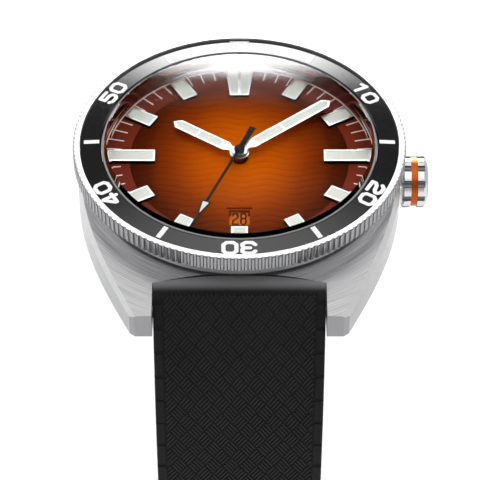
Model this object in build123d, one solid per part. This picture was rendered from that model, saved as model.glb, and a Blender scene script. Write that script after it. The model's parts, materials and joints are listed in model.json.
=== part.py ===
from build123d import *
import os
from math import atan2, cos, degrees, hypot, radians, sin

# Dive watch on a rubber strap, all sizes in millimetres.
# Origin: centre of the case back's outer face.  +Z leaves through the dial, 12 o'clock is +Y
# and the crown, at 3 o'clock, points along +X.

# --- mid-case ---------------------------------------------------------------------------------
LUG_WIDTH = 20.0
CASE_HALF_WIDTH = 19.5
LUG_TIP_Y = 23.5
FLANK_END_X = 12.33
LUG_CORNER = (12.6, 23.0)
LUG_TIP_HALF_WIDTH = 11.95
CASE_BOTTOM = 2.1
SHOULDER_R = 17.7
SHOULDER_Z = 6.9
CONE_Z = 6.68
CONE_SLOPE = 0.14
SLOT_Y = 17.8
SLOT_CORNER_Y = 18.95
BEVEL_TOP = 0.55
BEVEL_SIDE = 0.45
NECK_R = 17.05
NECK_TOP = 10.0
DIAL_BORE_R = 16.45
DIAL_BORE_Z = 5.9
HOLDER_BORE_R = 15.1
BACK_THREAD_R = 16.0
BACK_THREAD_TOP = 3.3
RUNNING = 0.05

# --- case back, crystal, rehaut ---------------------------------------------------------------
BACK_R = 17.3
BACK_PLATE = 1.2
BACK_CUP_R = 14.6
CRYSTAL_R = 16.2
CRYSTAL_BASE = 8.85
CRYSTAL_RIM = 11.2
CRYSTAL_TOP = 12.2
CRYSTAL_CENTRE_BASE = 9.75
REHAUT_R = 15.98

# --- bezel ------------------------------------------------------------------------------------
BEZEL_TIP_R = 19.9
BEZEL_ROOT_R = 19.47
BEZEL_TOP = 11.05
BEZEL_TEETH_BASE = 9.05
BEZEL_BASE = 7.0
BEZEL_SKIRT_R = 18.3
BEZEL_SKIRT_TOP = 8.35
BEZEL_FLUTE_R = 0.26
BEZEL_EDGE = 0.12
BEZEL_TEETH = 160
INSERT_IN_R = 16.55
INSERT_OUT_R = 19.1
INSERT_SEAT = 10.42
INSERT_IN_TOP = 10.85
INSERT_OUT_TOP = 10.72
MARK_RAISE = 0.02
NUMERAL_R = 17.83
NUMERAL_WIDTH = 1.95
NUMERAL_HEIGHT = 2.1
NUMERAL_STROKE = 0.47
NUMERAL_GAP = 0.2
FIVE_WIDTH = 0.6
FIVE_LENGTH = 1.85
PIP_SHIFT = 0.3
PIP_R = 0.42

# --- dial side --------------------------------------------------------------------------------
DIAL_R = 16.2
DIAL_BASE = 6.5
DIAL_TOP = 6.9
TRACK_R = 15.85
TICK_LENGTH = 1.7
TRACK_HALF = 0.08
TICK_HALF = 0.075
MARKER_WIDTH = 1.93
MARKER_OUT_R = 15.5
MARKER_IN_R = 11.95
LONG_MARKER_IN_R = 10.05
MARKER_TOP = 7.35
MARKER_WALL = 0.22
DATE_Y = -9.9
DATE_WIDTH = 2.4
DATE_HEIGHT = 2.4
DATE_FRAME = 0.26
DAY_WIDTH = 0.8
DAY_HEIGHT = 1.95
DAY_R = 9.77
DAY_STROKE = 0.2
DAY_GAP = 0.14
LUME_SKIN = 0.03

# --- hands (angles clockwise from 12 o'clock, as stored: eight minutes past ten) --------------
HOUR_ANGLE = 304.3
MINUTE_ANGLE = 51.4
SECOND_ANGLE = 203.2
HOUR_LENGTH = 9.6
MINUTE_LENGTH = 14.1
SECOND_LENGTH = 14.0
SECOND_TAIL = 4.1
NEEDLE_HALF = 0.17
NEEDLE_TIP_HALF = 0.14
HAND_WIDTH = 1.5
HOUR_HAND_Z = 7.72
MINUTE_HAND_Z = 8.02
SECOND_HAND_Z = 8.32
HAND_THICK = 0.12

# --- crown ------------------------------------------------------------------------------------
CROWN_Z = 4.37
CROWN_R = 3.2
CROWN_IN_X = 19.65
CROWN_OUT_X = 22.85
CROWN_FLUTES = 10
CROWN_BORE_X = 21.6
CROWN_GROOVE = (20.72, 21.52)
CROWN_GROOVE_R = 2.75
TUBE_R = 1.6
TUBE_OUT_X = 21.4
STEM_R = 0.42

# --- movement ---------------------------------------------------------------------------------
PLATE_R = 12.9
PLATE_BASE = 4.95
PLATE_TOP = 5.6
RIM_IN_R = 12.15
BRIDGE_BASE = 2.95
BRIDGE_TOP = 3.25
CENTRE_TEETH = 64
THIRD_PINION = 8
THIRD_TEETH = 60
FOURTH_PINION = 8
FOURTH_TEETH = 70
ESCAPE_PINION = 7
BARREL_TEETH = 102
CENTRE_PINION = 18
CANNON_TEETH = 12
MINUTE_WHEEL_TEETH = 36
MINUTE_PINION_TEETH = 10
HOUR_WHEEL_TEETH = 40
THIRD_DISTANCE = 2.25
ESCAPE_DISTANCE = 2.12
BARREL_DISTANCE = 6.0
MINUTE_WHEEL_DISTANCE = 2.4
THIRD_BEARING = -20.0
ESCAPE_BEARING = -152.0
BARREL_BEARING = 100.0
MINUTE_WHEEL_BEARING = 35.0
PALLET_REACH = 2.35
BALANCE_REACH = 3.1
BALANCE_R = 4.0
CLAMP_RADIUS = 13.72
CLAMP_ANGLES = (100, 280)

# --- strap ------------------------------------------------------------------------------------
BAR_Y = 20.65
BAR_Z = 3.75
BAR_R = 0.9
BAR_PIN_R = 0.45
STRAP_EYE_R = 1.5
STRAP_TOP = 6.42
SLOT_GAP = 0.15
STRAP_HALF_WIDTH = 9.9
STRAP_TAPER = 0.0125
STRAP_START_Y = 20.75
STRAP_START_Z = 6.42
STRAP_START_PITCH = 57.0
STRAP_BEND_R = 66.0
STRAP_THICK = 3.4
STRAP_THIN = 2.7
LONG_STRAP = 112.0
SHORT_STRAP = 74.0
HOLE_R = 1.0
HOLE_PITCH = 6.5
HOLE_COUNT = 8
KEEPER_WALL = 1.3
KEEPER_LENGTH = 5.0
FIXED_KEEPER_RISE = 9.0
FREE_KEEPER_RISE = 21.0
TAIL_ROOM = 3.4
BUCKLE_BAR_R = 0.75
BUCKLE_HALF_WIDTH = 11.3
BUCKLE_ARM = 1.9
BUCKLE_REACH = 11.5


# ==============================================================================================
# helpers
# ==============================================================================================
def box(x0, x1, y0, y1, z0, z1):
    return Pos((x0 + x1) / 2, (y0 + y1) / 2, (z0 + z1) / 2) * Box(x1 - x0, y1 - y0, z1 - z0)


def disc(radius, z0, z1, at=(0, 0)):
    return Pos(at[0], at[1], (z0 + z1) / 2) * Cylinder(radius, z1 - z0)


def ring(r_out, r_in, z0, z1, at=(0, 0)):
    return disc(r_out, z0, z1, at) - disc(r_in, z0 - 1, z1 + 1, at)


def turned(points):
    """Solid of revolution about Z from (radius, z) points."""
    return revolve(make_face(Plane.XZ * Polyline(*points, close=True)), Axis.Z)


def x_turned(points, z):
    """Solid of revolution about the stem axis from (x, radius) points."""
    face = make_face(Plane.XZ * Polyline(*points, close=True))
    return Pos(0, 0, z) * revolve(face, Axis.X)


def x_rod(radius, x0, x1, y, z):
    return Pos((x0 + x1) / 2, y, z) * Rot(0, 90, 0) * Cylinder(radius, x1 - x0)


def polar(radius, bearing):
    """Point at a bearing measured anticlockwise from +X."""
    return (radius * cos(radians(bearing)), radius * sin(radians(bearing)))


def clock(radius, angle):
    """Point at a dial angle measured clockwise from 12 o'clock."""
    return polar(radius, 90 - angle)


def prism(points, z0, z1):
    return extrude(Pos(0, 0, z0) * make_face(Polyline(*points, close=True)), z1 - z0)


def turn_clock(shape, angle):
    return Rot(0, 0, -angle) * shape


def gear(teeth, pitch_r, z0, z1, at=(0, 0), phase=0.0):
    """Spur gear whose first tooth is centred on the bearing given by phase."""
    module = 2 * pitch_r / teeth
    tip = pitch_r + 0.85 * module
    root = pitch_r - 1.15 * module
    step = 360 / teeth
    profile = [(root, -0.24), (tip, -0.09), (tip, 0.09), (root, 0.24)]
    points = []
    for tooth in range(teeth):
        for radius, share in profile:
            points.append(polar(radius, phase + (tooth + share) * step))
    return Pos(at[0], at[1], 0) * prism(points, z0, z1)


def spokes(r_rim, r_hub, z0, z1, at, count, width):
    """Bars that join a hub to a rim."""
    bar = box(r_hub * 0.6, r_rim, -width / 2, width / 2, z0, z1)
    solid = disc(r_hub, z0, z1)
    for arm in range(count):
        solid += Rot(0, 0, arm * 360 / count) * bar
    return Pos(at[0], at[1], 0) * solid


def wheel(teeth, pitch_r, z0, z1, at, phase):
    """Toothed rim on four spokes."""
    rim_in = pitch_r * 0.78
    rim = gear(teeth, pitch_r, z0, z1, at, phase) - disc(rim_in, z0 - 1, z1 + 1, at)
    return rim + spokes(rim_in + 0.05, pitch_r * 0.22, z0, z1, at, 4, pitch_r * 0.14)


# ==============================================================================================
# mid-case and its fittings
# ==============================================================================================
def case_outline():
    """Barrel-shaped plan: a bowed flank on each side, cut square at the lug ends."""
    half = [(CASE_HALF_WIDTH, 0), (18.1, 9.5), (15.1, 17.7), (FLANK_END_X, LUG_TIP_Y)]
    flank = Spline(*[(x, -y) for x, y in reversed(half)], *half[1:])
    near_end = Line((-FLANK_END_X, -LUG_TIP_Y), (FLANK_END_X, -LUG_TIP_Y))
    return make_face([flank, mirror(flank, Plane.YZ), near_end, mirror(near_end, Plane.XZ)])


def corner_cutter():
    """Wedge that takes the sharp corner off one lug tip."""
    tip = (LUG_TIP_HALF_WIDTH, LUG_TIP_Y)
    wedge = [LUG_CORNER, tip, (tip[0], tip[1] + 1), (LUG_CORNER[0] + 1, LUG_CORNER[1])]
    return prism(wedge, 0, NECK_TOP)


def slot_cutter():
    """Space between a pair of lugs; its inner wall is a shallow arc."""
    half = LUG_WIDTH / 2
    outer = LUG_TIP_Y + 2
    arc = ThreePointArc((-half, -SLOT_CORNER_Y), (0, -SLOT_Y), (half, -SLOT_CORNER_Y))
    sides = Polyline((half, -SLOT_CORNER_Y), (half, -outer), (-half, -outer), (-half, -SLOT_CORNER_Y))
    return extrude(make_face([arc, sides]), NECK_TOP)


def cone_z(radius):
    return CONE_Z - CONE_SLOPE * (radius - SHOULDER_R)


def case_body():
    far = 30.0
    crown_recess = x_rod(CROWN_R + 0.25, CROWN_IN_X - 0.35, CROWN_OUT_X, 0, CROWN_Z)
    blank = extrude(case_outline(), NECK_TOP)
    envelope = turned([
        (0, CASE_BOTTOM), (far, CASE_BOTTOM), (far, cone_z(far)), (SHOULDER_R, cone_z(SHOULDER_R)),
        (SHOULDER_R, SHOULDER_Z), (NECK_R, SHOULDER_Z), (NECK_R, NECK_TOP), (0, NECK_TOP),
    ])
    body = blank & Rot(0, 0, 90) * envelope
    body = chamfer([e for e in body.edges() if is_flank_edge(e)], BEVEL_SIDE, BEVEL_TOP)
    corner = corner_cutter()
    body -= [corner, mirror(corner, Plane.YZ), mirror(corner, Plane.XZ), Rot(0, 0, 180) * corner]
    cutter = slot_cutter()
    body -= cutter
    body -= mirror(cutter, Plane.XZ)
    body -= disc(BACK_THREAD_R + RUNNING, 0, BACK_THREAD_TOP)
    body -= disc(HOLDER_BORE_R, 0, NECK_TOP)
    body -= disc(DIAL_BORE_R, DIAL_BORE_Z, NECK_TOP + 1)
    body -= crown_recess
    body -= x_rod(1.0, HOLDER_BORE_R - 1, CROWN_OUT_X, 0, CROWN_Z)
    for side in (1, -1):
        body -= spring_bar_holes(side)
    return body


def spring_bar_holes(side):
    """Blind holes in one pair of lugs."""
    hole_in = LUG_WIDTH / 2 - 0.5
    hole_out = LUG_WIDTH / 2 + 1.0
    right = x_rod(BAR_PIN_R + 0.05, hole_in, hole_out, side * BAR_Y, BAR_Z)
    return [right, mirror(right, Plane.YZ)]


def is_flank_edge(edge):
    """Long edges where a bowed flank meets the brushed top."""
    middle = edge.position_at(0.5)
    return abs(middle.X) > CASE_HALF_WIDTH - 0.1 and middle.Z > CROWN_Z


def case_back():
    """Screw-in back: a dished plate with six key notches and a threaded wall."""
    seat = CASE_BOTTOM - 0.02
    wall_top = BACK_THREAD_TOP - 0.1
    back = turned([
        (0, 0), (BACK_R - 0.8, 0), (BACK_R, 0.9), (BACK_R, seat), (BACK_THREAD_R, seat),
        (BACK_THREAD_R, wall_top), (BACK_CUP_R, wall_top), (BACK_CUP_R, BACK_PLATE), (0, BACK_PLATE),
    ])
    for notch in range(6):
        back -= Rot(0, 0, notch * 60 + 30) * box(BACK_R - 1.6, BACK_R + 1, -1.0, 1.0, -1, 0.7)
    groove = ring(17.0, 16.3, CASE_BOTTOM - 0.42, CASE_BOTTOM + 1)
    return back - groove


def case_back_gasket():
    return ring(16.95, 16.35, CASE_BOTTOM - 0.4, CASE_BOTTOM - 0.01)


def crystal():
    """Double-domed sapphire with a bevelled rim."""
    outer = [(CRYSTAL_R, CRYSTAL_BASE), (CRYSTAL_R, CRYSTAL_RIM - 0.3), (CRYSTAL_R - 0.35, CRYSTAL_RIM)]
    edge_side = Plane.XZ * Polyline(*outer)
    dome = Plane.XZ * dome_arc(CRYSTAL_R - 0.35, CRYSTAL_RIM, CRYSTAL_TOP)
    axis_line = Plane.XZ * Line((0, CRYSTAL_TOP), (0, CRYSTAL_CENTRE_BASE))
    seat_r = CRYSTAL_R - 0.9
    under = Plane.XZ * dome_arc(seat_r, CRYSTAL_BASE, CRYSTAL_CENTRE_BASE)
    seat = Plane.XZ * Line((seat_r, CRYSTAL_BASE), (CRYSTAL_R, CRYSTAL_BASE))
    return revolve(make_face([edge_side, dome, axis_line, under, seat]), Axis.Z)


def dome_arc(radius, rim_z, top_z):
    """Circular arc from the axis to the rim of a shallow dome."""
    rise = top_z - rim_z
    sphere = (radius * radius + rise * rise) / (2 * rise)
    half_x = radius * 0.5
    half_z = top_z - sphere + (sphere * sphere - half_x * half_x) ** 0.5
    return ThreePointArc((0, top_z), (half_x, half_z), (radius, rim_z))


def crystal_gasket():
    return ring(DIAL_BORE_R, CRYSTAL_R + 0.01, CRYSTAL_BASE, 10.75)


def rehaut_ring():
    """Polished flange between the dial and the crystal."""
    top = CRYSTAL_BASE - 0.03
    base = DIAL_TOP + 0.01
    outer = DIAL_BORE_R - 0.04
    return turned([(REHAUT_R, base), (outer, base), (outer, top), (REHAUT_R + 0.15, top)])


def crown_tube():
    tube = x_rod(TUBE_R, CROWN_IN_X - 0.34, TUBE_OUT_X, 0, CROWN_Z)
    tube += x_rod(0.99, HOLDER_BORE_R + 0.4, CROWN_IN_X - 0.3, 0, CROWN_Z)
    return tube - x_rod(STEM_R + 0.06, HOLDER_BORE_R - 2, TUBE_OUT_X + 1, 0, CROWN_Z)


def spring_bars():
    """Two sprung pins that hold the strap ends between the lugs."""
    bars = []
    for side in (1, -1):
        barrel = x_rod(BAR_R, -LUG_WIDTH / 2 + 0.1, LUG_WIDTH / 2 - 0.1, side * BAR_Y, BAR_Z)
        pin = x_rod(BAR_PIN_R, -LUG_WIDTH / 2 - 0.9, LUG_WIDTH / 2 + 0.9, side * BAR_Y, BAR_Z)
        bars.append(barrel + pin)
    return bars


# ==============================================================================================
# bezel
# ==============================================================================================
def bezel_ring():
    bore = NECK_R + 0.1
    lip_z = NECK_TOP + 0.06
    blank = turned([
        (bore, BEZEL_BASE), (BEZEL_SKIRT_R, BEZEL_BASE), (BEZEL_SKIRT_R, BEZEL_SKIRT_TOP),
        (BEZEL_ROOT_R - 0.35, BEZEL_TEETH_BASE), (BEZEL_ROOT_R, BEZEL_TEETH_BASE), (BEZEL_ROOT_R, BEZEL_TOP),
        (INSERT_OUT_R, BEZEL_TOP), (INSERT_OUT_R, INSERT_SEAT), (INSERT_IN_R, INSERT_SEAT),
        (INSERT_IN_R, lip_z), (bore, lip_z),
    ])
    click_track = ring(NECK_R + 0.75, NECK_R + 0.05, BEZEL_BASE - 1, BEZEL_BASE + 0.4)
    gasket_groove = ring(NECK_R + 0.42, NECK_R, 7.75, 8.15)
    wire_groove = ring(NECK_R + 0.5, NECK_R, 8.6, 9.0)
    blank = blank - click_track - gasket_groove - wire_groove
    step = 360 / BEZEL_TEETH
    flute = Pos(BEZEL_TIP_R, 0, 0) * Cylinder(BEZEL_FLUTE_R, 30)
    root = BEZEL_ROOT_R - 0.1
    shy = BEZEL_TIP_R - BEZEL_EDGE
    teeth = turned([
        (root, BEZEL_TEETH_BASE), (shy, BEZEL_TEETH_BASE), (BEZEL_TIP_R, BEZEL_TEETH_BASE + BEZEL_EDGE),
        (BEZEL_TIP_R, BEZEL_TOP - BEZEL_EDGE), (shy, BEZEL_TOP), (root, BEZEL_TOP),
    ])
    flutes = [Rot(0, 0, (i + 0.5) * step - 90) * flute for i in range(BEZEL_TEETH)]
    return blank + (teeth - flutes)


def bezel_insert():
    base = INSERT_SEAT + 0.01
    outer = INSERT_OUT_R - 0.06
    return turned([
        (INSERT_IN_R, base), (outer, base), (outer, INSERT_OUT_TOP),
        (INSERT_IN_R + 0.12, INSERT_IN_TOP), (INSERT_IN_R, INSERT_IN_TOP - 0.1),
    ])


TURN_X, TURN_Y = 0.24, 0.2
DIGIT_STROKES = {
    "0": [[(TURN_X, 0), (1 - TURN_X, 0), (1, TURN_Y), (1, 1 - TURN_Y), (1 - TURN_X, 1), (TURN_X, 1),
           (0, 1 - TURN_Y), (0, TURN_Y), (TURN_X, 0)]],
    "1": [[(0.15, 0.78), (0.6, 1), (0.6, 0)]],
    "2": [[(0, 0.8), (TURN_X, 1), (1 - TURN_X, 1), (1, 1 - TURN_Y), (1, 0.66), (0.78, 0.52), (0.22, 0.42),
           (0, 0.26), (0, 0), (1, 0)]],
    "3": [[(0, 0.8), (TURN_X, 1), (1 - TURN_X, 1), (1, 0.84), (1, 0.66), (0.82, 0.5), (1, 0.34), (1, 0.16),
           (1 - TURN_X, 0), (TURN_X, 0), (0, 0.2)], [(0.4, 0.5), (0.82, 0.5)]],
    "4": [[(0.74, 0), (0.74, 1), (0.66, 1), (0, 0.36), (0, 0.27), (1, 0.27)]],
    "5": [[(1, 1), (0.04, 1), (0.04, 0.58), (1 - TURN_X, 0.58), (1, 0.42), (1, 0.16), (1 - TURN_X, 0),
           (TURN_X, 0), (0, 0.18)]],
    "6": [[(1, 0.84), (1 - TURN_X, 1), (TURN_X, 1), (0, 1 - TURN_Y), (0, TURN_Y), (TURN_X, 0),
           (1 - TURN_X, 0), (1, 0.16), (1, 0.42), (1 - TURN_X, 0.56), (0, 0.56)]],
    "7": [[(0, 1), (1, 1), (1, 0.86), (0.4, 0)]],
    "8": [[(TURN_X, 0), (1 - TURN_X, 0), (1, 0.16), (1, 0.38), (0.82, 0.52), (1, 0.66), (1, 0.84),
           (1 - TURN_X, 1), (TURN_X, 1), (0, 0.84), (0, 0.66), (0.18, 0.52), (0, 0.38), (0, 0.16),
           (TURN_X, 0)], [(0.18, 0.52), (0.82, 0.52)]],
    "9": [[(0, 0.16), (TURN_X, 0), (1 - TURN_X, 0), (1, TURN_Y), (1, 1 - TURN_Y), (1 - TURN_X, 1),
           (TURN_X, 1), (0, 0.84), (0, 0.58), (TURN_X, 0.44), (1, 0.44)]],
}


def stroke_face(start, end, stroke):
    """One straight stroke between two points."""
    length = hypot(end[0] - start[0], end[1] - start[1])
    angle = degrees(atan2(end[1] - start[1], end[0] - start[0]))
    middle = Pos((start[0] + end[0]) / 2, (start[1] + end[1]) / 2)
    return middle * Rot(0, 0, angle) * Rectangle(length, stroke)


def digit_face(character, width, height, stroke):
    """Flat digit drawn with round-ended strokes, centred on the origin."""
    span_x = width - stroke
    span_y = height - stroke
    faces = []
    for line in DIGIT_STROKES[character]:
        points = [((x - 0.5) * span_x, (y - 0.5) * span_y) for x, y in line]
        for start, end in zip(points, points[1:]):
            faces.append(stroke_face(start, end, stroke))
        for point in points:
            faces.append(Pos(*point) * Circle(stroke / 2))
    return faces[0] + faces[1:]


def number_faces(text, width, height, stroke, gap):
    """Digits side by side, centred on the origin."""
    pitch = width + gap
    first = -(len(text) - 1) / 2 * pitch
    return [Pos(first + i * pitch, 0) * digit_face(c, width, height, stroke) for i, c in enumerate(text)]


def insert_z(radius):
    """Height of the insert's gently coned face."""
    share = (radius - INSERT_IN_R) / (INSERT_OUT_R - INSERT_IN_R)
    return INSERT_IN_TOP + share * (INSERT_OUT_TOP - INSERT_IN_TOP)


def on_insert(face, angle, radius):
    """Stand a face on the insert at a dial angle and give it the marking's thickness."""
    slope = degrees(atan2(INSERT_IN_TOP - INSERT_OUT_TOP, INSERT_OUT_R - INSERT_IN_R))
    place = Rot(0, 0, -angle) * Pos(0, radius, insert_z(radius) + 0.01) * Rot(-slope, 0, 0)
    return place * extrude(face, MARK_RAISE)


def bezel_markings():
    """Minute lines, the tens and the triangle at zero."""
    marks = []
    for minute in (5, 15, 25, 35, 45, 55):
        marks.append(on_insert(Rectangle(FIVE_WIDTH, FIVE_LENGTH), minute * 6, NUMERAL_R - 0.15))
    for minute in (10, 20, 30, 40, 50):
        digits = number_faces(str(minute), NUMERAL_WIDTH, NUMERAL_HEIGHT, NUMERAL_STROKE, NUMERAL_GAP)
        marks += [on_insert(face, minute * 6, NUMERAL_R) for face in digits]
    triangle = make_face(Polyline((-1.25, 1.0), (1.25, 1.0), (0, -0.98), close=True))
    marks.append(on_insert(triangle - Pos(0, PIP_SHIFT) * Circle(PIP_R + 0.03), 0, NUMERAL_R))
    return marks


def bezel_lume_pip():
    return on_insert(Pos(0, PIP_SHIFT) * Circle(PIP_R), 0, NUMERAL_R)


def bezel_click_spring():
    """Flat ring with three raised pawls under the bezel."""
    spring = ring(NECK_R + 0.58, NECK_R + 0.12, SHOULDER_Z, SHOULDER_Z + 0.15)
    pawl = box(NECK_R + 0.15, NECK_R + 0.55, -1.6, 1.6, SHOULDER_Z + 0.1, SHOULDER_Z + 0.35)
    for place in range(3):
        spring += Rot(0, 0, place * 120 + 30) * pawl
    return spring


def bezel_gasket():
    return ring(NECK_R + 0.34, NECK_R, 7.83, 8.07)


def bezel_retaining_wire():
    return ring(NECK_R + 0.48, NECK_R + 0.08, 8.65, 8.95)


# ==============================================================================================
# dial, markers, hands
# ==============================================================================================
def dial():
    """Brass disc with the date aperture in a stepped recess."""
    plate = disc(DIAL_R, DIAL_BASE, DIAL_TOP) - disc(1.05, DIAL_BASE - 1, DIAL_TOP + 1)
    half_w = DATE_WIDTH / 2
    half_h = DATE_HEIGHT / 2
    plate -= box(-half_w, half_w, DATE_Y - half_h, DATE_Y + half_h, DIAL_BASE - 1, DIAL_TOP + 1)
    half_w += DATE_FRAME
    half_h += DATE_FRAME
    plate -= box(-half_w, half_w, DATE_Y - half_h, DATE_Y + half_h, DIAL_TOP - 0.15, DIAL_TOP + 1)
    return plate


def minute_track():
    """Printed circle and the minute strokes between the hour markers."""
    raise_z = DIAL_TOP + LUME_SKIN
    marks = [ring(TRACK_R + TRACK_HALF, TRACK_R - TRACK_HALF, DIAL_TOP, raise_z)]
    tick = box(-TICK_HALF, TICK_HALF, TRACK_R - TICK_LENGTH, TRACK_R - 0.1, DIAL_TOP, raise_z)
    for minute in range(2, 59):
        if minute % 5:
            marks.append(turn_clock(tick, minute * 6))
    return marks


def marker_block(r_in, r_out, half_in, half_out, z0, z1, inset=0.0):
    """Tapered block that points at the centre, at 12 o'clock."""
    return prism([(-half_in + inset, r_in + inset), (half_in - inset, r_in + inset),
                  (half_out - inset, r_out - inset), (-half_out + inset, r_out - inset)], z0, z1)


def marker_spans():
    """Hour, inner radius and outer radius of every single marker."""
    spans = []
    for hour in range(1, 12):
        inner = LONG_MARKER_IN_R if hour in (3, 9) else MARKER_IN_R
        spans.append((hour, inner, MARKER_OUT_R))
    return spans


def hour_markers():
    """Polished frames with a pocket for the luminous block."""
    frames = []
    half = MARKER_WIDTH / 2
    floor = MARKER_TOP - 0.2
    for hour, inner, outer in marker_spans():
        block = marker_block(inner, outer, half, half, DIAL_TOP, MARKER_TOP)
        block -= marker_block(inner, outer, half, half, floor, MARKER_TOP + 1, MARKER_WALL)
        frames.append(turn_clock(block, hour * 30))
    twelve = twelve_block()
    for side in (1, -1):
        twelve -= twelve_lume(side, floor, MARKER_TOP + 1)
    frames.append(twelve)
    return frames


def twelve_block():
    """Outer block of the double marker at 12 o'clock."""
    return marker_block(10.75, 15.62, 1.15, 1.73, DIAL_TOP, MARKER_TOP)


def twelve_lume(side, z0, z1):
    """One of the two luminous halves of the 12 o'clock marker."""
    gap = 0.16
    return prism([(side * gap, 10.97), (side * 0.96, 10.97), (side * 1.49, 15.4), (side * gap, 15.4)], z0, z1)


def marker_lume():
    fills = []
    half = MARKER_WIDTH / 2
    floor = MARKER_TOP - 0.2
    for hour, inner, outer in marker_spans():
        block = marker_block(inner, outer, half, half, floor, MARKER_TOP - 0.03, MARKER_WALL)
        fills.append(turn_clock(block, hour * 30))
    for side in (1, -1):
        fills.append(twelve_lume(side, floor, MARKER_TOP - 0.03))
    return fills


def baton_outline(length, half, neck_half, neck_y):
    """Baton with a house-shaped tip and a narrow neck by the hub."""
    tip = half * 1.05
    left = [(-neck_half, 0), (-neck_half, neck_y), (-half, neck_y + 0.55), (-half, length - tip)]
    right = [(-x, y) for x, y in reversed(left)]
    return left + [(0, length)] + right


def hand_windows(length, cross_y, z0, z1):
    """The two lume windows of a baton hand, parted by a crossbar."""
    half = HAND_WIDTH / 2 - 0.24
    inner = prism([(-half, 2.6), (half, 2.6), (half, cross_y - 0.12), (-half, cross_y - 0.12)], z0, z1)
    tip = length - HAND_WIDTH * 0.55
    cross = cross_y + 0.12
    outer = prism([(-half, cross), (half, cross), (half, tip), (0, length - 0.42), (-half, tip)], z0, z1)
    return [inner, outer]


def baton_hand(length, cross_y, hub_r, bore_r, z, angle):
    z1 = z + HAND_THICK
    hand = prism(baton_outline(length, HAND_WIDTH / 2, 0.42, 1.35), z, z1) + disc(hub_r, z, z1)
    hand -= disc(bore_r, z - 1, z1 + 1)
    for window in hand_windows(length, cross_y, z - 1, z1 + 1):
        hand -= window
    return turn_clock(hand, angle)


def hand_lume(length, cross_y, z, angle):
    z1 = z + HAND_THICK - 0.03
    return [turn_clock(window, angle) for window in hand_windows(length, cross_y, z + 0.01, z1)]


def seconds_hand():
    """Slim needle with a counterweight tail and an arrow-shaped luminous tip."""
    z = SECOND_HAND_Z
    z1 = z + 0.08
    left = [(-NEEDLE_HALF, 0), (-NEEDLE_TIP_HALF, SECOND_LENGTH)]
    right = [(NEEDLE_TIP_HALF, SECOND_LENGTH), (NEEDLE_HALF, 0)]
    needle = prism(left + right, z, z1)
    tail = prism([(-0.3, 0), (-0.38, -SECOND_TAIL), (0.38, -SECOND_TAIL), (0.3, 0)], z, z1)
    arrow = prism([(-0.62, 9.6), (0.62, 9.6), (0.1, 12.2), (-0.1, 12.2)], z, z1)
    hand = needle + tail + arrow + disc(0.62, z, z1 + 0.06)
    hand -= arrow_window(z - 1, z1 + 1)
    hand -= disc(0.13, z - 1, z1 + 0.02)
    return turn_clock(hand, SECOND_ANGLE)


def arrow_window(z0, z1):
    return prism([(-0.4, 9.8), (0.4, 9.8), (0, 11.75)], z0, z1)


def seconds_lume():
    return turn_clock(arrow_window(SECOND_HAND_Z + 0.01, SECOND_HAND_Z + 0.07), SECOND_ANGLE)


# ==============================================================================================
# crown
# ==============================================================================================
def crown_profile(x0, x1, radius, end):
    inner_edge = [(x0, 0), (x0, radius - 0.25), (x0 + 0.25, radius)]
    outer_edge = [(x1 - end, radius), (x1, radius - end * 0.8), (x1, 0)]
    return x_turned(inner_edge + outer_edge, CROWN_Z)


def crown():
    """Fluted grip with a groove for the coloured ring and a bore over the tube."""
    grip = crown_profile(CROWN_IN_X, CROWN_OUT_X - 0.25, CROWN_R, 0.35)
    cap = [(CROWN_OUT_X - 0.3, 0), (CROWN_OUT_X - 0.3, 2.75), (CROWN_OUT_X - 0.05, 2.2), (CROWN_OUT_X, 0)]
    grip += x_turned(cap, CROWN_Z)
    for flute in range(CROWN_FLUTES):
        across = x_rod(0.5, CROWN_IN_X - 1, CROWN_OUT_X - 0.45, 0, CROWN_R + 0.22)
        grip -= Pos(0, 0, CROWN_Z) * Rot(flute * 360 / CROWN_FLUTES + 18, 0, 0) * across
    groove = x_rod(CROWN_R + 1, *CROWN_GROOVE, 0, CROWN_Z)
    grip -= groove - x_rod(CROWN_GROOVE_R, *CROWN_GROOVE, 0, CROWN_Z)
    grip -= x_rod(TUBE_R + 0.1, CROWN_IN_X - 1, CROWN_BORE_X, 0, CROWN_Z)
    grip -= x_rod(STEM_R, 21.4, 22.3, 0, CROWN_Z)
    return grip


def crown_ring():
    x0, x1 = CROWN_GROOVE
    band = x_rod(CROWN_R - 0.18, x0 + 0.02, x1 - 0.02, 0, CROWN_Z)
    return band - x_rod(CROWN_GROOVE_R + 0.01, x0, x1, 0, CROWN_Z)


def winding_stem():
    stem = x_rod(STEM_R, 12.2, 22.28, 0, CROWN_Z)
    square = box(8.9, 12.4, -0.28, 0.28, CROWN_Z - 0.28, CROWN_Z + 0.28)
    return stem + square


def crown_gasket():
    return x_rod(TUBE_R + 0.09, 21.43, 21.58, 0, CROWN_Z) - x_rod(STEM_R + 0.02, 21, 22, 0, CROWN_Z)


def sliding_pinion():
    """Toothed sleeve on the square of the stem."""
    body = x_rod(0.95, 10.05, 11.35, 0, CROWN_Z)
    waist = x_rod(1.0, 10.55, 10.9, 0, CROWN_Z) - x_rod(0.7, 10, 12, 0, CROWN_Z)
    hole = box(9, 12.2, -0.33, 0.33, CROWN_Z - 0.33, CROWN_Z + 0.33)
    return body - waist - hole


# ==============================================================================================
# movement
# ==============================================================================================
THIRD_AT = polar(THIRD_DISTANCE, THIRD_BEARING)
ESCAPE_AT = polar(ESCAPE_DISTANCE, ESCAPE_BEARING)
BARREL_AT = polar(BARREL_DISTANCE, BARREL_BEARING)
MINUTE_WHEEL_AT = polar(MINUTE_WHEEL_DISTANCE, MINUTE_WHEEL_BEARING)
PALLET_AT = polar(ESCAPE_DISTANCE + PALLET_REACH, ESCAPE_BEARING)
BALANCE_AT = polar(ESCAPE_DISTANCE + PALLET_REACH + BALANCE_REACH, ESCAPE_BEARING)


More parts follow.
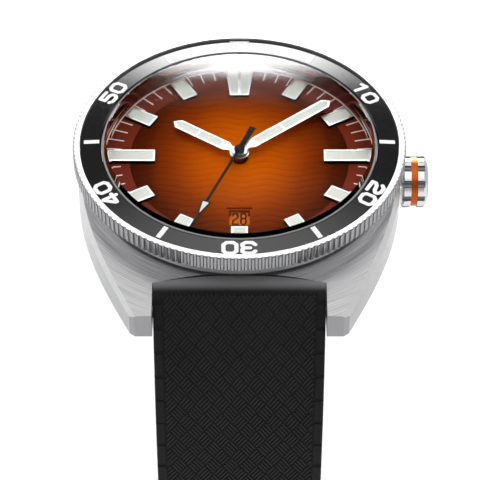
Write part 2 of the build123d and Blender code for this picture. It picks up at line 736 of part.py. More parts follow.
def meshed_pitch(distance, teeth, mate):
    return distance * teeth / (teeth + mate)


def gap_phase(bearing, teeth):
    """Phase that turns a tooth gap towards a wheel lying at a bearing."""
    return bearing + 180 / teeth


def mainplate():
    """Base plate with a rim, a block for the winding stem and pivot holes."""
    plate = disc(PLATE_R, PLATE_BASE, PLATE_TOP) + ring(PLATE_R, RIM_IN_R, BRIDGE_TOP, DIAL_BASE)
    stem_block = box(9.7, 12.6, -1.9, 1.9, 3.3, 5.1)
    plate += stem_block & disc(PLATE_R, 3, 6)
    plate -= box(9.95, 11.45, -1.1, 1.1, 3.2, 5.5)
    plate -= x_rod(STEM_R + 0.06, 9, 14, 0, CROWN_Z)
    plate -= disc(0.62, 4, 6)
    for at in (THIRD_AT, ESCAPE_AT, PALLET_AT, BALANCE_AT):
        plate -= disc(0.2, 4, 6, at)
    plate -= disc(0.5, 4, 6, BARREL_AT)
    for angle in (60, 180, 300):
        plate -= disc(0.3, 2, PLATE_TOP + 1, clock(10.9, angle))
    return plate


def bridge_blank(outline_r, cut_boxes):
    plate = disc(outline_r, BRIDGE_BASE, BRIDGE_TOP)
    for cut in cut_boxes:
        plate -= cut
    return plate


def barrel_bridge():
    """Upper half of the back plate, over the barrel."""
    plate = bridge_blank(PLATE_R, [box(-14, 14, -14, 2.35, 2, 4)])
    plate -= disc(0.5, 2, 4, BARREL_AT)
    plate -= box(9.0, 14, 2.3, 3.0, 2, 4)
    return plate


def train_bridge():
    """Lower right part of the back plate, over the going train."""
    plate = bridge_blank(PLATE_R, [box(-14, 14, 2.25, 14, 2, 4)])
    plate -= disc(BALANCE_R + 0.65, 2, 4, BALANCE_AT)
    plate -= box(-14, BALANCE_AT[0], -14, 14, 2, 4)
    for at in ((0, 0), THIRD_AT, ESCAPE_AT, PALLET_AT):
        plate -= disc(0.2, 2, 4, at)
    return plate & disc(PLATE_R, 2, 4)


def balance_cock():
    """Single-armed bridge over the balance, screwed at the rim."""
    arm_angle = 205.0
    foot = polar(11.2, arm_angle + 3)
    dx = BALANCE_AT[0] - foot[0]
    dy = BALANCE_AT[1] - foot[1]
    arm = box(0, hypot(dx, dy), -1.2, 1.2, BRIDGE_BASE, BRIDGE_TOP)
    solid = Pos(foot[0], foot[1], 0) * Rot(0, 0, degrees(atan2(dy, dx))) * arm
    solid += disc(1.45, BRIDGE_BASE, BRIDGE_TOP, BALANCE_AT)
    solid += disc(1.4, BRIDGE_BASE, BRIDGE_TOP, foot)
    solid -= disc(0.2, 2, 4, BALANCE_AT)
    return solid & disc(PLATE_R, 2, 4)


def movement_screws():
    """Bridge and clamp screws, heads towards the back."""
    screws = []
    places = [clock(11.2, a) for a in (25, 75, 130, 165, 320)]
    for at in places:
        screws.append(slotted_head(0.75, BRIDGE_BASE - 0.2, BRIDGE_BASE, at))
    for at in clamp_places():
        head = slotted_head(0.7, BACK_THREAD_TOP - 0.55, BACK_THREAD_TOP - 0.3, at)
        screws.append(head + disc(0.4, BACK_THREAD_TOP - 0.3, BACK_THREAD_TOP + 0.04, at))
    return screws


def slotted_head(radius, z0, z1, at):
    slot = box(at[0] - radius - 1, at[0] + radius + 1, at[1] - 0.08, at[1] + 0.08, z0 - 1, z0 + 0.1)
    return disc(radius, z0, z1, at) - slot


def jewels():
    """Ruby bearings set in the pivot holes of the train bridge and the balance cock."""
    stones = []
    for at in (THIRD_AT, ESCAPE_AT, PALLET_AT, BALANCE_AT):
        stones.append(ring(0.19, 0.1, BRIDGE_BASE, BRIDGE_TOP, at))
        stones.append(ring(0.19, 0.1, PLATE_BASE, PLATE_TOP, at))
    return stones


def calendar_plate():
    """Guard that keeps the date disc down at its inner edge."""
    plate = ring(8.1, 4.8, PLATE_TOP, 6.15) + ring(8.6, 4.8, 6.32, 6.46)
    return plate + ring(8.0, 4.8, 6.1, 6.4)


def movement_holder():
    """Plastic ring that centres the movement in the case."""
    holder = ring(HOLDER_BORE_R - 0.05, PLATE_R + 0.02, BACK_THREAD_TOP + 0.05, DIAL_BASE - 0.02)
    return holder - x_rod(0.8, PLATE_R - 1, HOLDER_BORE_R + 1, 0, CROWN_Z)


def clamp_places():
    return [clock(CLAMP_RADIUS, angle) for angle in CLAMP_ANGLES]


def casing_clamps():
    """Two small tabs screwed to the holder ring."""
    tabs = []
    z0 = BACK_THREAD_TOP - 0.3
    z1 = BACK_THREAD_TOP + 0.04
    for angle, at in zip(CLAMP_ANGLES, clamp_places()):
        tab = Rot(0, 0, 90 - angle) * box(-1.2, 1.2, -1.3, 1.3, z0, z1)
        trimmed = Pos(at[0], at[1], 0) * tab & ring(BACK_CUP_R - 0.1, PLATE_R + 0.05, z0, z1)
        tabs.append(trimmed - disc(0.42, 2, 5, at))
    return tabs


def fourth_wheel():
    """Seconds wheel: its arbor runs up through the centre tube to the seconds hand."""
    pitch = meshed_pitch(ESCAPE_DISTANCE, FOURTH_TEETH, ESCAPE_PINION)
    rim = wheel(FOURTH_TEETH, pitch, 3.45, 3.6, (0, 0), ESCAPE_BEARING)
    pinion_r = meshed_pitch(THIRD_DISTANCE, FOURTH_PINION, THIRD_TEETH)
    pinion = gear(FOURTH_PINION, pinion_r, 3.6, 4.15, (0, 0), THIRD_BEARING)
    arbor = disc(0.12, 3.0, SECOND_HAND_Z + 0.08)
    return rim + pinion + arbor


def third_wheel():
    pitch = meshed_pitch(THIRD_DISTANCE, THIRD_TEETH, FOURTH_PINION)
    facing = THIRD_BEARING + 180
    rim = wheel(THIRD_TEETH, pitch, 3.85, 4.0, THIRD_AT, gap_phase(facing, THIRD_TEETH))
    pinion_r = meshed_pitch(THIRD_DISTANCE, THIRD_PINION, CENTRE_TEETH)
    pinion = gear(THIRD_PINION, pinion_r, 4.0, 4.7, THIRD_AT, gap_phase(facing, THIRD_PINION))
    return rim + pinion + disc(0.09, 3.0, 5.5, THIRD_AT)


def centre_wheel():
    """Minute wheel of the train with the cannon pinion that carries the minute hand."""
    pitch = meshed_pitch(THIRD_DISTANCE, CENTRE_TEETH, THIRD_PINION)
    solid = wheel(CENTRE_TEETH, pitch, 4.4, 4.55, (0, 0), THIRD_BEARING)
    pinion_r = meshed_pitch(BARREL_DISTANCE, CENTRE_PINION, BARREL_TEETH)
    solid += gear(CENTRE_PINION, pinion_r, 4.55, 4.9, (0, 0), BARREL_BEARING)
    solid += disc(0.45, 4.25, 6.0)
    cannon_r = meshed_pitch(MINUTE_WHEEL_DISTANCE, CANNON_TEETH, MINUTE_WHEEL_TEETH)
    solid += gear(CANNON_TEETH, cannon_r, 5.72, 5.95, (0, 0), MINUTE_WHEEL_BEARING)
    solid += disc(0.4, 5.9, MINUTE_HAND_Z + HAND_THICK)
    return solid - disc(0.18, 4, 9)


def hour_wheel():
    pitch = meshed_pitch(MINUTE_WHEEL_DISTANCE, HOUR_WHEEL_TEETH, MINUTE_PINION_TEETH)
    solid = gear(HOUR_WHEEL_TEETH, pitch, 6.1, 6.28, (0, 0), MINUTE_WHEEL_BEARING)
    solid += disc(0.72, 6.1, HOUR_HAND_Z + HAND_THICK)
    return solid - disc(0.46, 6, 9)


def minute_wheel():
    facing = MINUTE_WHEEL_BEARING + 180
    big = meshed_pitch(MINUTE_WHEEL_DISTANCE, MINUTE_WHEEL_TEETH, CANNON_TEETH)
    small = meshed_pitch(MINUTE_WHEEL_DISTANCE, MINUTE_PINION_TEETH, HOUR_WHEEL_TEETH)
    solid = gear(MINUTE_WHEEL_TEETH, big, 5.76, 5.91, MINUTE_WHEEL_AT, gap_phase(facing, MINUTE_WHEEL_TEETH))
    phase = gap_phase(facing, MINUTE_PINION_TEETH)
    solid += gear(MINUTE_PINION_TEETH, small, 5.91, 6.3, MINUTE_WHEEL_AT, phase)
    return solid + disc(0.2, 5.65, 6.35, MINUTE_WHEEL_AT)


def barrel():
    """Mainspring drum with its toothed flange, arbor and ratchet wheel."""
    pitch = meshed_pitch(BARREL_DISTANCE, BARREL_TEETH, CENTRE_PINION)
    flange = gear(BARREL_TEETH, pitch, 4.65, 4.85, BARREL_AT, gap_phase(BARREL_BEARING + 180, BARREL_TEETH))
    drum = disc(3.9, 3.4, 4.75, BARREL_AT)
    hollow = disc(3.7, 3.5, 4.6, BARREL_AT)
    return flange + drum - hollow + disc(0.45, 2.99, 5.5, BARREL_AT)


def mainspring():
    """Coiled spring inside the drum."""
    coils = [ring(r + 0.13, r, 3.55, 4.55, BARREL_AT) for r in (1.0, 1.5, 2.0, 2.5, 3.0, 3.45)]
    link = box(BARREL_AT[0], BARREL_AT[0] + 3.6, BARREL_AT[1] - 0.06, BARREL_AT[1] + 0.06, 3.55, 4.55)
    return coils[0] + coils[1:] + (link - disc(0.5, 3, 5, BARREL_AT))


def escape_wheel():
    """Fifteen club teeth on a light wheel."""
    r_tip = 1.65
    points = []
    teeth = 15
    for tooth in range(teeth):
        base = tooth * 360 / teeth
        points += [polar(1.3, base), polar(r_tip, base + 9), polar(r_tip, base + 12), polar(1.3, base + 13)]
    rim = Pos(*ESCAPE_AT, 0) * prism(points, 4.2, 4.32) - disc(1.1, 4, 5, ESCAPE_AT)
    rim += spokes(1.12, 0.3, 4.2, 4.32, ESCAPE_AT, 4, 0.2)
    pinion_r = meshed_pitch(ESCAPE_DISTANCE, ESCAPE_PINION, FOURTH_TEETH)
    rim += gear(ESCAPE_PINION, pinion_r, 3.4, 4.2, ESCAPE_AT, gap_phase(ESCAPE_BEARING + 180, ESCAPE_PINION))
    return rim + disc(0.09, 3.0, 5.5, ESCAPE_AT)


def pallet_fork():
    """Anchor with two ruby-faced arms and a forked lever."""
    anchor = box(-1.75, -0.25, -0.16, 0.16, 4.2, 4.34)
    arms = box(0.1, 0.35, -1.15, 1.15, 4.2, 4.34)
    for side in (1, -1):
        arms += box(0.1, 0.62, side * 1.05 - 0.1, side * 1.05 + 0.1, 4.2, 4.34)
    lever = box(-2.2, 0.2, -0.12, 0.12, 4.2, 4.34) + anchor
    fork = box(-2.45, -2.1, -0.45, 0.45, 4.2, 4.34) - box(-2.6, -2.2, -0.3, 0.3, 4, 5)
    solid = arms + lever + fork + disc(0.3, 4.2, 4.34) + disc(0.09, 3.0, 5.5)
    return Pos(PALLET_AT[0], PALLET_AT[1], 0) * Rot(0, 0, ESCAPE_BEARING + 180) * solid


def balance_wheel():
    reach = BALANCE_R - 0.2
    rim = ring(BALANCE_R, BALANCE_R - 0.45, 3.7, 3.95) + box(-reach, reach, -0.3, 0.3, 3.7, 3.9)
    staff = disc(0.09, 3.0, 5.5) + disc(0.32, 3.7, 4.5)
    return Pos(BALANCE_AT[0], BALANCE_AT[1], 0) * (rim + staff)


def hairspring():
    """Flat spiral above the balance, drawn as close turns joined by a stud bar."""
    turns = [ring(r + 0.04, r, 3.5, 3.6, BALANCE_AT) for r in (0.4, 0.7, 1.0, 1.3, 1.6, 1.9, 2.2)]
    bar = box(BALANCE_AT[0] - 2.22, BALANCE_AT[0] - 0.3, BALANCE_AT[1] - 0.05, BALANCE_AT[1] + 0.05, 3.5, 3.6)
    collet = ring(0.42, 0.1, 3.5, 3.65, BALANCE_AT)
    return turns[0] + turns[1:] + bar + collet


def rotor():
    """Half-moon winding weight on the back of the movement, with its ball-bearing hub."""
    weight = ring(12.2, 9.2, 1.55, 2.35) & box(-14, 14, -14, 0, 1, 3)
    web = (disc(9.4, 2.05, 2.35) - disc(1.3, 1, 3)) & box(-14, 14, -14, 1.4, 1, 3)
    hub = ring(1.9, 1.3, 1.75, 2.4)
    slots = []
    for angle in (200, 235, 270, 305, 340):
        x, y = polar(5.6, angle)
        slots.append(Pos(x, y, 0) * Rot(0, 0, angle) * box(-2.0, 2.0, -0.8, 0.8, 1, 3))
    return weight + (web - slots) + hub


def rotor_bearing():
    """Fixed core of the rotor bearing with its screw, on the train bridge."""
    core = disc(1.2, 1.8, 2.3) + disc(0.8, 2.2, BRIDGE_BASE)
    return core - disc(0.1, 2.5, 4)


def date_disc():
    disc_ring = ring(11.8, 8.75, 6.2, 6.42)
    inner_flange = ring(8.8, 8.25, 6.2, 6.29)
    return disc_ring + inner_flange


def date_numerals():
    """Numbers 1 to 31; 28 stands in the window as stored."""
    solids = []
    shown = 28
    for day in range(1, 32):
        angle = (day - shown) * 360 / 31
        place = Rot(0, 0, angle) * Pos(0, -DAY_R, 6.42)
        for face in number_faces(str(day), DAY_WIDTH, DAY_HEIGHT, DAY_STROKE, DAY_GAP):
            solids.append(place * extrude(face, 0.02))
    return solids


# ==============================================================================================
# strap and buckle
# ==============================================================================================
def strap_point(distance):
    """(y outwards, z) of the strap's outer face at a distance from its first edge."""
    bend = STRAP_BEND_R * radians(90 - STRAP_START_PITCH)
    start = radians(STRAP_START_PITCH)
    pitch = start + min(distance, bend) / STRAP_BEND_R
    y = STRAP_START_Y + STRAP_BEND_R * (sin(pitch) - sin(start))
    z = STRAP_START_Z - STRAP_BEND_R * (cos(start) - cos(pitch))
    if distance > bend:
        z -= distance - bend
    return y, z, pitch


def strap_inner(distance, thickness):
    y, z, pitch = strap_point(distance)
    return y - thickness * sin(pitch), z - thickness * cos(pitch)


def strap_solid(length):
    """One half of the strap at 6 o'clock: solid end block, curved band, tapering in width."""
    bend = STRAP_BEND_R * radians(90 - STRAP_START_PITCH)
    outer_mid = strap_point(bend / 2)[:2]
    outer_bend = strap_point(bend)[:2]
    outer_end = strap_point(length)[:2]
    inner_start = strap_inner(4.5, STRAP_THICK)
    inner_mid = strap_inner(bend * 0.55, STRAP_THICK)
    inner_bend = strap_inner(bend, STRAP_THICK)
    inner_end = (outer_end[0] - STRAP_THIN, outer_end[1])
    start = (STRAP_START_Y, STRAP_START_Z)
    edges = [
        ThreePointArc(start, outer_mid, outer_bend),
        Line(outer_bend, outer_end),
        Line(outer_end, inner_end),
        Line(inner_end, inner_bend),
        ThreePointArc(inner_bend, inner_mid, inner_start),
        Polyline(inner_start, (BAR_Y - 1.1, BAR_Z - 0.9), (BAR_Y - 1.3, BAR_Z + 0.6),
                 (SLOT_Y + SLOT_GAP, STRAP_TOP - 0.9), (SLOT_Y + SLOT_GAP, STRAP_TOP), start),
    ]
    section = make_face([Plane.YZ * edge for edge in edges])
    half = STRAP_HALF_WIDTH
    band = Pos(-half, 0, 0) * extrude(section, amount=2 * half, dir=(1, 0, 0))
    band += x_rod(STRAP_EYE_R, -half, half, BAR_Y, BAR_Z)
    band -= x_rod(BAR_R + 0.08, -half - 1, half + 1, BAR_Y, BAR_Z)
    sagitta = SLOT_CORNER_Y - SLOT_Y
    slot_r = (LUG_WIDTH * LUG_WIDTH / 4 + sagitta * sagitta) / (2 * sagitta)
    band &= Pos(0, SLOT_Y + SLOT_GAP + slot_r, -50) * Cylinder(slot_r, 130)
    return taper(band)


def taper(band):
    """Trim both flanks so that the strap narrows away from the case."""
    angle = degrees(STRAP_TAPER)
    reach = 160.0
    for side in (1, -1):
        cutter = Pos(side * (STRAP_HALF_WIDTH + 5), 0, 5 - reach / 2) * Box(10, 120, reach)
        hinge = Pos(side * STRAP_HALF_WIDTH, 0, 5)
        band -= hinge * Rot(0, side * angle, 0) * hinge.inverse() * cutter
    return band


def to_six(shape):
    return mirror(shape, Plane.XZ)


def strap_long():
    """Tail half with its row of holes, at 6 o'clock."""
    band = strap_solid(LONG_STRAP)
    y, z, _ = strap_point(LONG_STRAP)
    end_r = STRAP_HALF_WIDTH - 1.45
    tip = Pos(0, y - 5, z) * Rot(90, 0, 0) * (Box(40, 2 * end_r, 30) - Pos(0, end_r, 0) * Cylinder(end_r, 30))
    band -= tip
    for hole in range(HOLE_COUNT):
        place = Pos(0, y, z + 14 + hole * HOLE_PITCH) * Rot(90, 0, 0)
        band -= place * Cylinder(HOLE_R, 12)
    return to_six(band)


def strap_short():
    """Buckle half at 12 o'clock, with the eye for the buckle bar and a moulded keeper."""
    band = strap_solid(SHORT_STRAP)
    y, z, _ = strap_point(SHORT_STRAP)
    mid = y - STRAP_THIN / 2
    half = STRAP_HALF_WIDTH - 1.2
    band += x_rod(STRAP_THIN / 2, -half, half, mid, z)
    band -= x_rod(BUCKLE_BAR_R + 0.06, -20, 20, mid, z)
    band -= box(-1.4, 1.4, y - 8, y + 4, z - 4, z + 3.2)
    return band + fixed_keeper()


def fixed_keeper():
    """Moulded loop nearest the buckle."""
    y, z = strap_point(SHORT_STRAP)[:2]
    z += FIXED_KEEPER_RISE
    half = STRAP_HALF_WIDTH - 0.95
    high = y + TAIL_ROOM
    low = y - 0.4
    out = half + KEEPER_WALL
    outer = box(-out, out, low, high + KEEPER_WALL, z - KEEPER_LENGTH / 2, z + KEEPER_LENGTH / 2)
    return outer - box(-half, half, low - 1, high, z - KEEPER_LENGTH, z + KEEPER_LENGTH)


def free_keeper():
    """Loose loop round the strap, with room for the tail."""
    y, z = strap_point(SHORT_STRAP)[:2]
    z += FREE_KEEPER_RISE
    half = STRAP_HALF_WIDTH - 0.3
    low = y - STRAP_THIN - 0.75
    high = y + TAIL_ROOM
    wall = KEEPER_WALL
    out = half + wall
    reach = KEEPER_LENGTH / 2
    outer = box(-out, out, low - wall, high + wall, z - reach, z + reach)
    return outer - box(-half, half, low, high, z - KEEPER_LENGTH, z + KEEPER_LENGTH)


def buckle_bar():
    y, z, _ = strap_point(SHORT_STRAP)
    return x_rod(BUCKLE_BAR_R, -10.3, 10.3, y - STRAP_THIN / 2, z)


def buckle_frame():
    """U-shaped steel frame whose arms take the bar, with a notch for the tongue."""
    y, z, _ = strap_point(SHORT_STRAP)
    mid = y - STRAP_THIN / 2
    arms = []
    for side in (1, -1):
        arm = box(-BUCKLE_ARM / 2, BUCKLE_ARM / 2, mid - 1.4, mid + 1.4, z - BUCKLE_REACH, z + 1.6)
        arms.append(Pos(side * (BUCKLE_HALF_WIDTH - BUCKLE_ARM / 2), 0, 0) * arm)
    cross = box(-BUCKLE_HALF_WIDTH, BUCKLE_HALF_WIDTH, mid - 1.0, mid + 1.4, z - BUCKLE_REACH, z - 8.8)
    notch = box(-0.95, 0.95, mid + 0.75, mid + 2, z - 12, z - 8)
    frame = arms[0] + arms[1] + cross - notch
    return frame - x_rod(BUCKLE_BAR_R, -10.3, 10.3, mid, z)


def buckle_tongue():
    y, z, _ = strap_point(SHORT_STRAP)
    mid = y - STRAP_THIN / 2
    eye = x_rod(1.3, -0.9, 0.9, mid, z)
    blade = box(-0.8, 0.8, mid + 0.8, mid + 1.3, z - 10.9, z)
    eye_hole = x_rod(BUCKLE_BAR_R + 0.06, -2, 2, mid, z)
    return eye + blade - eye_hole


# ==============================================================================================
# write one file per piece
# ==============================================================================================
PARTS = {
    "case_body": case_body,
    "case_back": case_back,
    "case_back_gasket": case_back_gasket,
    "crystal": crystal,
    "crystal_gasket": crystal_gasket,
    "rehaut_ring": rehaut_ring,
    "crown_tube": crown_tube,
    "spring_bars": spring_bars,
    "bezel_ring": bezel_ring,
    "bezel_insert": bezel_insert,
    "bezel_markings": bezel_markings,
    "bezel_lume_pip": bezel_lume_pip,
    "bezel_click_spring": bezel_click_spring,
    "bezel_gasket": bezel_gasket,
    "bezel_retaining_wire": bezel_retaining_wire,
    "dial": dial,
    "minute_track": minute_track,
    "hour_markers": hour_markers,
    "marker_lume": marker_lume,
    "hour_hand": lambda: baton_hand(HOUR_LENGTH, 5.9, 1.15, 0.72, HOUR_HAND_Z, HOUR_ANGLE),
    "hour_hand_lume": lambda: hand_lume(HOUR_LENGTH, 5.9, HOUR_HAND_Z, HOUR_ANGLE),
    "minute_hand": lambda: baton_hand(MINUTE_LENGTH, 6.6, 0.9, 0.4, MINUTE_HAND_Z, MINUTE_ANGLE),
    "minute_hand_lume": lambda: hand_lume(MINUTE_LENGTH, 6.6, MINUTE_HAND_Z, MINUTE_ANGLE),
    "seconds_hand": seconds_hand,
    "seconds_hand_lume": seconds_lume,
    "crown": crown,
    "crown_ring": crown_ring,
    "winding_stem": winding_stem,
    "crown_gasket": crown_gasket,
    "sliding_pinion": sliding_pinion,
    "mainplate": mainplate,
    "barrel_bridge": barrel_bridge,
    "train_bridge": train_bridge,
    "balance_cock": balance_cock,
    "movement_screws": movement_screws,
    "jewels": jewels,
    "calendar_plate": calendar_plate,
    "movement_holder": movement_holder,
    "casing_clamps": casing_clamps,
    "fourth_wheel": fourth_wheel,
    "third_wheel": third_wheel,
    "centre_wheel": centre_wheel,
    "hour_wheel": hour_wheel,
    "minute_wheel": minute_wheel,
    "barrel": barrel,
    "mainspring": mainspring,
    "escape_wheel": escape_wheel,
    "pallet_fork": pallet_fork,
    "balance_wheel": balance_wheel,
    "hairspring": hairspring,
    "rotor": rotor,
    "rotor_bearing": rotor_bearing,
    "date_disc": date_disc,
    "date_numerals": date_numerals,
    "strap_long": strap_long,
    "strap_short": strap_short,
    "free_keeper": free_keeper,
    "buckle_bar": buckle_bar,
    "buckle_frame": buckle_frame,
    "buckle_tongue": buckle_tongue,
}

os.makedirs("parts", exist_ok=True)
for name, make in PARTS.items():
    shape = make()
    solids = shape if isinstance(shape, list) else [shape]
    export_step(Compound(children=[s for item in solids for s in item.solids()]), f"parts/{name}.step")
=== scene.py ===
import json
import math

import bmesh
import bpy
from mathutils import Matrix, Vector


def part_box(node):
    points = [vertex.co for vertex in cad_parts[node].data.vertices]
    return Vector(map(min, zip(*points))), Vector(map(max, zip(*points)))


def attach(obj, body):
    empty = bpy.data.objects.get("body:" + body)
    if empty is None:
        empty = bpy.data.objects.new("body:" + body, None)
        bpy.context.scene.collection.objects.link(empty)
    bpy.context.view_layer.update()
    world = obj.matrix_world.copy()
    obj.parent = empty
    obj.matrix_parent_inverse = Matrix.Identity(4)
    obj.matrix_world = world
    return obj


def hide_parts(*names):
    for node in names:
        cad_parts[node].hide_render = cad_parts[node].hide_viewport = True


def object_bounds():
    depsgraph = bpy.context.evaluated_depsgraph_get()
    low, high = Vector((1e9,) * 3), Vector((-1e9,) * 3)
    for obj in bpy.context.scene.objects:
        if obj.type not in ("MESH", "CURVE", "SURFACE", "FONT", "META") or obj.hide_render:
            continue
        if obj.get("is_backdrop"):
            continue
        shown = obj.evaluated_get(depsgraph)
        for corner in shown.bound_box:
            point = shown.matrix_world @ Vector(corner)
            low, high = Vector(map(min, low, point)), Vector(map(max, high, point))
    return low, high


MM = 0.001
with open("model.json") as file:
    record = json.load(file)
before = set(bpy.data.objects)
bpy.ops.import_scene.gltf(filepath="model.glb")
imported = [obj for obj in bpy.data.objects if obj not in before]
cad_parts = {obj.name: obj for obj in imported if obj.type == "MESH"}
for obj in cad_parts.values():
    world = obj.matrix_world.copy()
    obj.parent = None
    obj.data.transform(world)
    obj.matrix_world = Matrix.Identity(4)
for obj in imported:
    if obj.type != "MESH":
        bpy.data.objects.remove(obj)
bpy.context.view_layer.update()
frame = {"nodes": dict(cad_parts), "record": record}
nodes = frame["nodes"]
scene = bpy.context.scene


# --- materials (noise scales are per metre, and bump depths are in metres) ------------------------
COATING_AND_PAINTED_SHINE = (0.002, 0.12)  # mirror share of the crystal's coat, raised from the middle to the 12 o'clock side as a painted highlight
# y distances over which the crystal's painted highlight rises
PAINTED_SHINE_SPAN_MM = (10.5, 15.5)
WAVE_R = 13.0  # millimetres; the dial's wave relief ends there
MIX_FACTOR, MIX_BASE, MIX_OVER, MIX_RESULT = 0, 6, 7, 2  # sockets of a colour Mix node
SIDE_SMOKE = 1.55  # weight of x squared against y squared in the dial's darkening
DIAL_REACH_MM = 16.0
SMOKE_STEPS = (
    (0.0, (0.64, 0.112, 0.001)), (0.3, (0.52, 0.085, 0.001)), (0.62, (0.24, 0.033, 0.002)),
    (0.85, (0.085, 0.012, 0.002)), (1.0, (0.05, 0.008, 0.002)))
DIAL_RIM = (0.17, 0.026, 0.013)
# painted sheen on the strap's end by the case: full grey inside the first y distance, gone by the second
PAINTED_SHEEN_SPAN_MM = (19.0, 20.6)
PAINTED_SHEEN_GREY = (0.22, 0.22, 0.225)


def feed(tree, target, value):
    """Sets a node's input to a constant, or links another node's output to it."""
    if isinstance(value, bpy.types.NodeSocket):
        tree.links.new(value, target)
    else:
        target.default_value = value


def calculate(tree, operation, *values):
    """Math node; each value is a constant or another node's output."""
    node = tree.nodes.new("ShaderNodeMath")
    node.operation = operation
    for index, value in enumerate(values):
        feed(tree, node.inputs[index], value)
    return node.outputs[0]


def map_range(tree, value, numbers, smooth=False):
    """Map Range node; numbers are from-low, from-high, to-low and to-high."""
    node = tree.nodes.new("ShaderNodeMapRange")
    if smooth:
        node.interpolation_type = "SMOOTHSTEP"
    tree.links.new(value, node.inputs[0])
    for index, number in enumerate(numbers):
        node.inputs[index + 1].default_value = number
    return node.outputs[0]


class Shade:
    """One procedural material: a Principled shader and the nodes that feed it."""

    def __init__(self, name, **sockets):
        self.mat = bpy.data.materials.new(name)
        self.mat.use_nodes = True
        self.tree = self.mat.node_tree
        self.tree.nodes.clear()
        self.out = self.tree.nodes.new("ShaderNodeOutputMaterial")
        self.bsdf = self.tree.nodes.new("ShaderNodeBsdfPrincipled")
        self.link(self.bsdf.outputs[0], self.out.inputs[0])
        for socket, value in sockets.items():
            self.put(socket.replace("_", " "), value)
        self.coords = None

    def link(self, source, target):
        self.tree.links.new(source, target)

    def put(self, socket, value):
        """Feeds a Principled input with a number, a colour or a node's output."""
        if isinstance(value, tuple):
            value = (*value, 1.0)
        feed(self.tree, self.bsdf.inputs[socket], value)

    def where(self):
        """Position on the piece, in the row frame, in metres."""
        if self.coords is None:
            self.coords = self.tree.nodes.new("ShaderNodeTexCoord").outputs["Object"]
        return self.coords

    def math(self, operation, *values):
        return calculate(self.tree, operation, *values)

    def axes(self, vector=None):
        node = self.tree.nodes.new("ShaderNodeSeparateXYZ")
        self.link(vector or self.where(), node.inputs[0])
        return node.outputs

    def combine(self, x, y, z=0.0):
        node = self.tree.nodes.new("ShaderNodeCombineXYZ")
        for index, value in enumerate((x, y, z)):
            feed(self.tree, node.inputs[index], value)
        return node.outputs[0]

    def noise(self, scale, vector=None, detail=3.0, stretch=None):
        vector = vector or self.where()
        if stretch:
            mapping = self.tree.nodes.new("ShaderNodeMapping")
            self.link(vector, mapping.inputs["Vector"])
            mapping.inputs["Scale"].default_value = stretch
            vector = mapping.outputs[0]
        node = self.tree.nodes.new("ShaderNodeTexNoise")
        self.link(vector, node.inputs["Vector"])
        node.inputs["Scale"].default_value = scale
        node.inputs["Detail"].default_value = detail
        return node.outputs["Fac"]

    def spread(self, value, *numbers, smooth=False):
        return map_range(self.tree, value, numbers, smooth)

    def blend(self, share, base, colour):
        """Base fading into one colour as share goes from 0 to 1."""
        node = self.tree.nodes.new("ShaderNodeMix")
        node.data_type = "RGBA"
        self.link(share, node.inputs[MIX_FACTOR])
        self.link(base, node.inputs[MIX_BASE])
        node.inputs[MIX_OVER].default_value = (*colour, 1.0)
        return node.outputs[MIX_RESULT]

    def ramp(self, value, *stops):
        node = self.tree.nodes.new("ShaderNodeValToRGB")
        self.link(value, node.inputs[0])
        elements = node.color_ramp.elements
        while len(elements) < len(stops):
            elements.new(0.5)
        for element, (place, colour) in zip(elements, stops):
            element.position = place
            element.color = (*colour, 1.0)
        return node.outputs[0]

    def bump(self, height, depth, strength=1.0):
        node = self.tree.nodes.new("ShaderNodeBump")
        node.inputs["Distance"].default_value = depth
        node.inputs["Strength"].default_value = strength
        self.link(height, node.inputs["Height"])
        self.link(node.outputs[0], self.bsdf.inputs["Normal"])

    def radius(self):
        """Distance from the watch's axis."""
        x, y, _ = self.axes()
        return self.math("SQRT", self.math("ADD", self.math("MULTIPLY", x, x), self.math("MULTIPLY", y, y)))


def worn(name, colour, rough, spread, scale=900.0, depth=0.0, **sockets):
    """A plain finish with wear: tone drifts, roughness drifts by spread, and fine marks are depth deep."""
    shade = Shade(name, **sockets)
    drift = shade.noise(scale)
    dark = tuple(c * 0.93 for c in colour)
    shade.put("Base Color", shade.ramp(drift, (0.3, dark), (0.7, colour)))
    shade.put("Roughness", shade.spread(shade.noise(scale * 3.1), 0.3, 0.7, rough - spread, rough + spread))
    if depth:
        shade.bump(shade.noise(scale * 4.7, detail=4.0), depth)
    return shade.mat


def circular_brushed(name, colour, rough):
    """Steel brushed in circles about the watch's axis."""
    shade = Shade(name, Metallic=1.0, Anisotropic=0.75)
    x, y, _ = shade.axes()
    angle = shade.math("ARCTAN2", y, x)
    line = shade.combine(shade.math("MULTIPLY", shade.radius(), 9000.0), shade.math("MULTIPLY", angle, 3.0))
    streak = shade.noise(1.0, line, detail=4.0)
    shade.put("Base Color", shade.ramp(streak, (0.3, tuple(c * 0.6 for c in colour)), (0.7, colour)))
    shade.put("Roughness", shade.spread(streak, 0.3, 0.7, rough - 0.05, rough + 0.06))
    tangent = shade.tree.nodes.new("ShaderNodeTangent")
    tangent.direction_type = "RADIAL"
    tangent.axis = "Z"
    shade.link(tangent.outputs[0], shade.bsdf.inputs["Tangent"])
    shade.bump(streak, 4e-6, 0.5)
    return shade.mat


def straight_brushed(name, colour, rough, stretch):
    """Steel brushed along one axis."""
    shade = Shade(name, Metallic=1.0)
    streak = shade.noise(1.0, detail=4.0, stretch=stretch)
    shade.put("Base Color", shade.ramp(streak, (0.25, tuple(c * 0.85 for c in colour)), (0.75, colour)))
    shade.put("Roughness", shade.spread(streak, 0.3, 0.7, rough - 0.05, rough + 0.06))
    shade.bump(streak, 4e-6, 0.5)
    return shade.mat


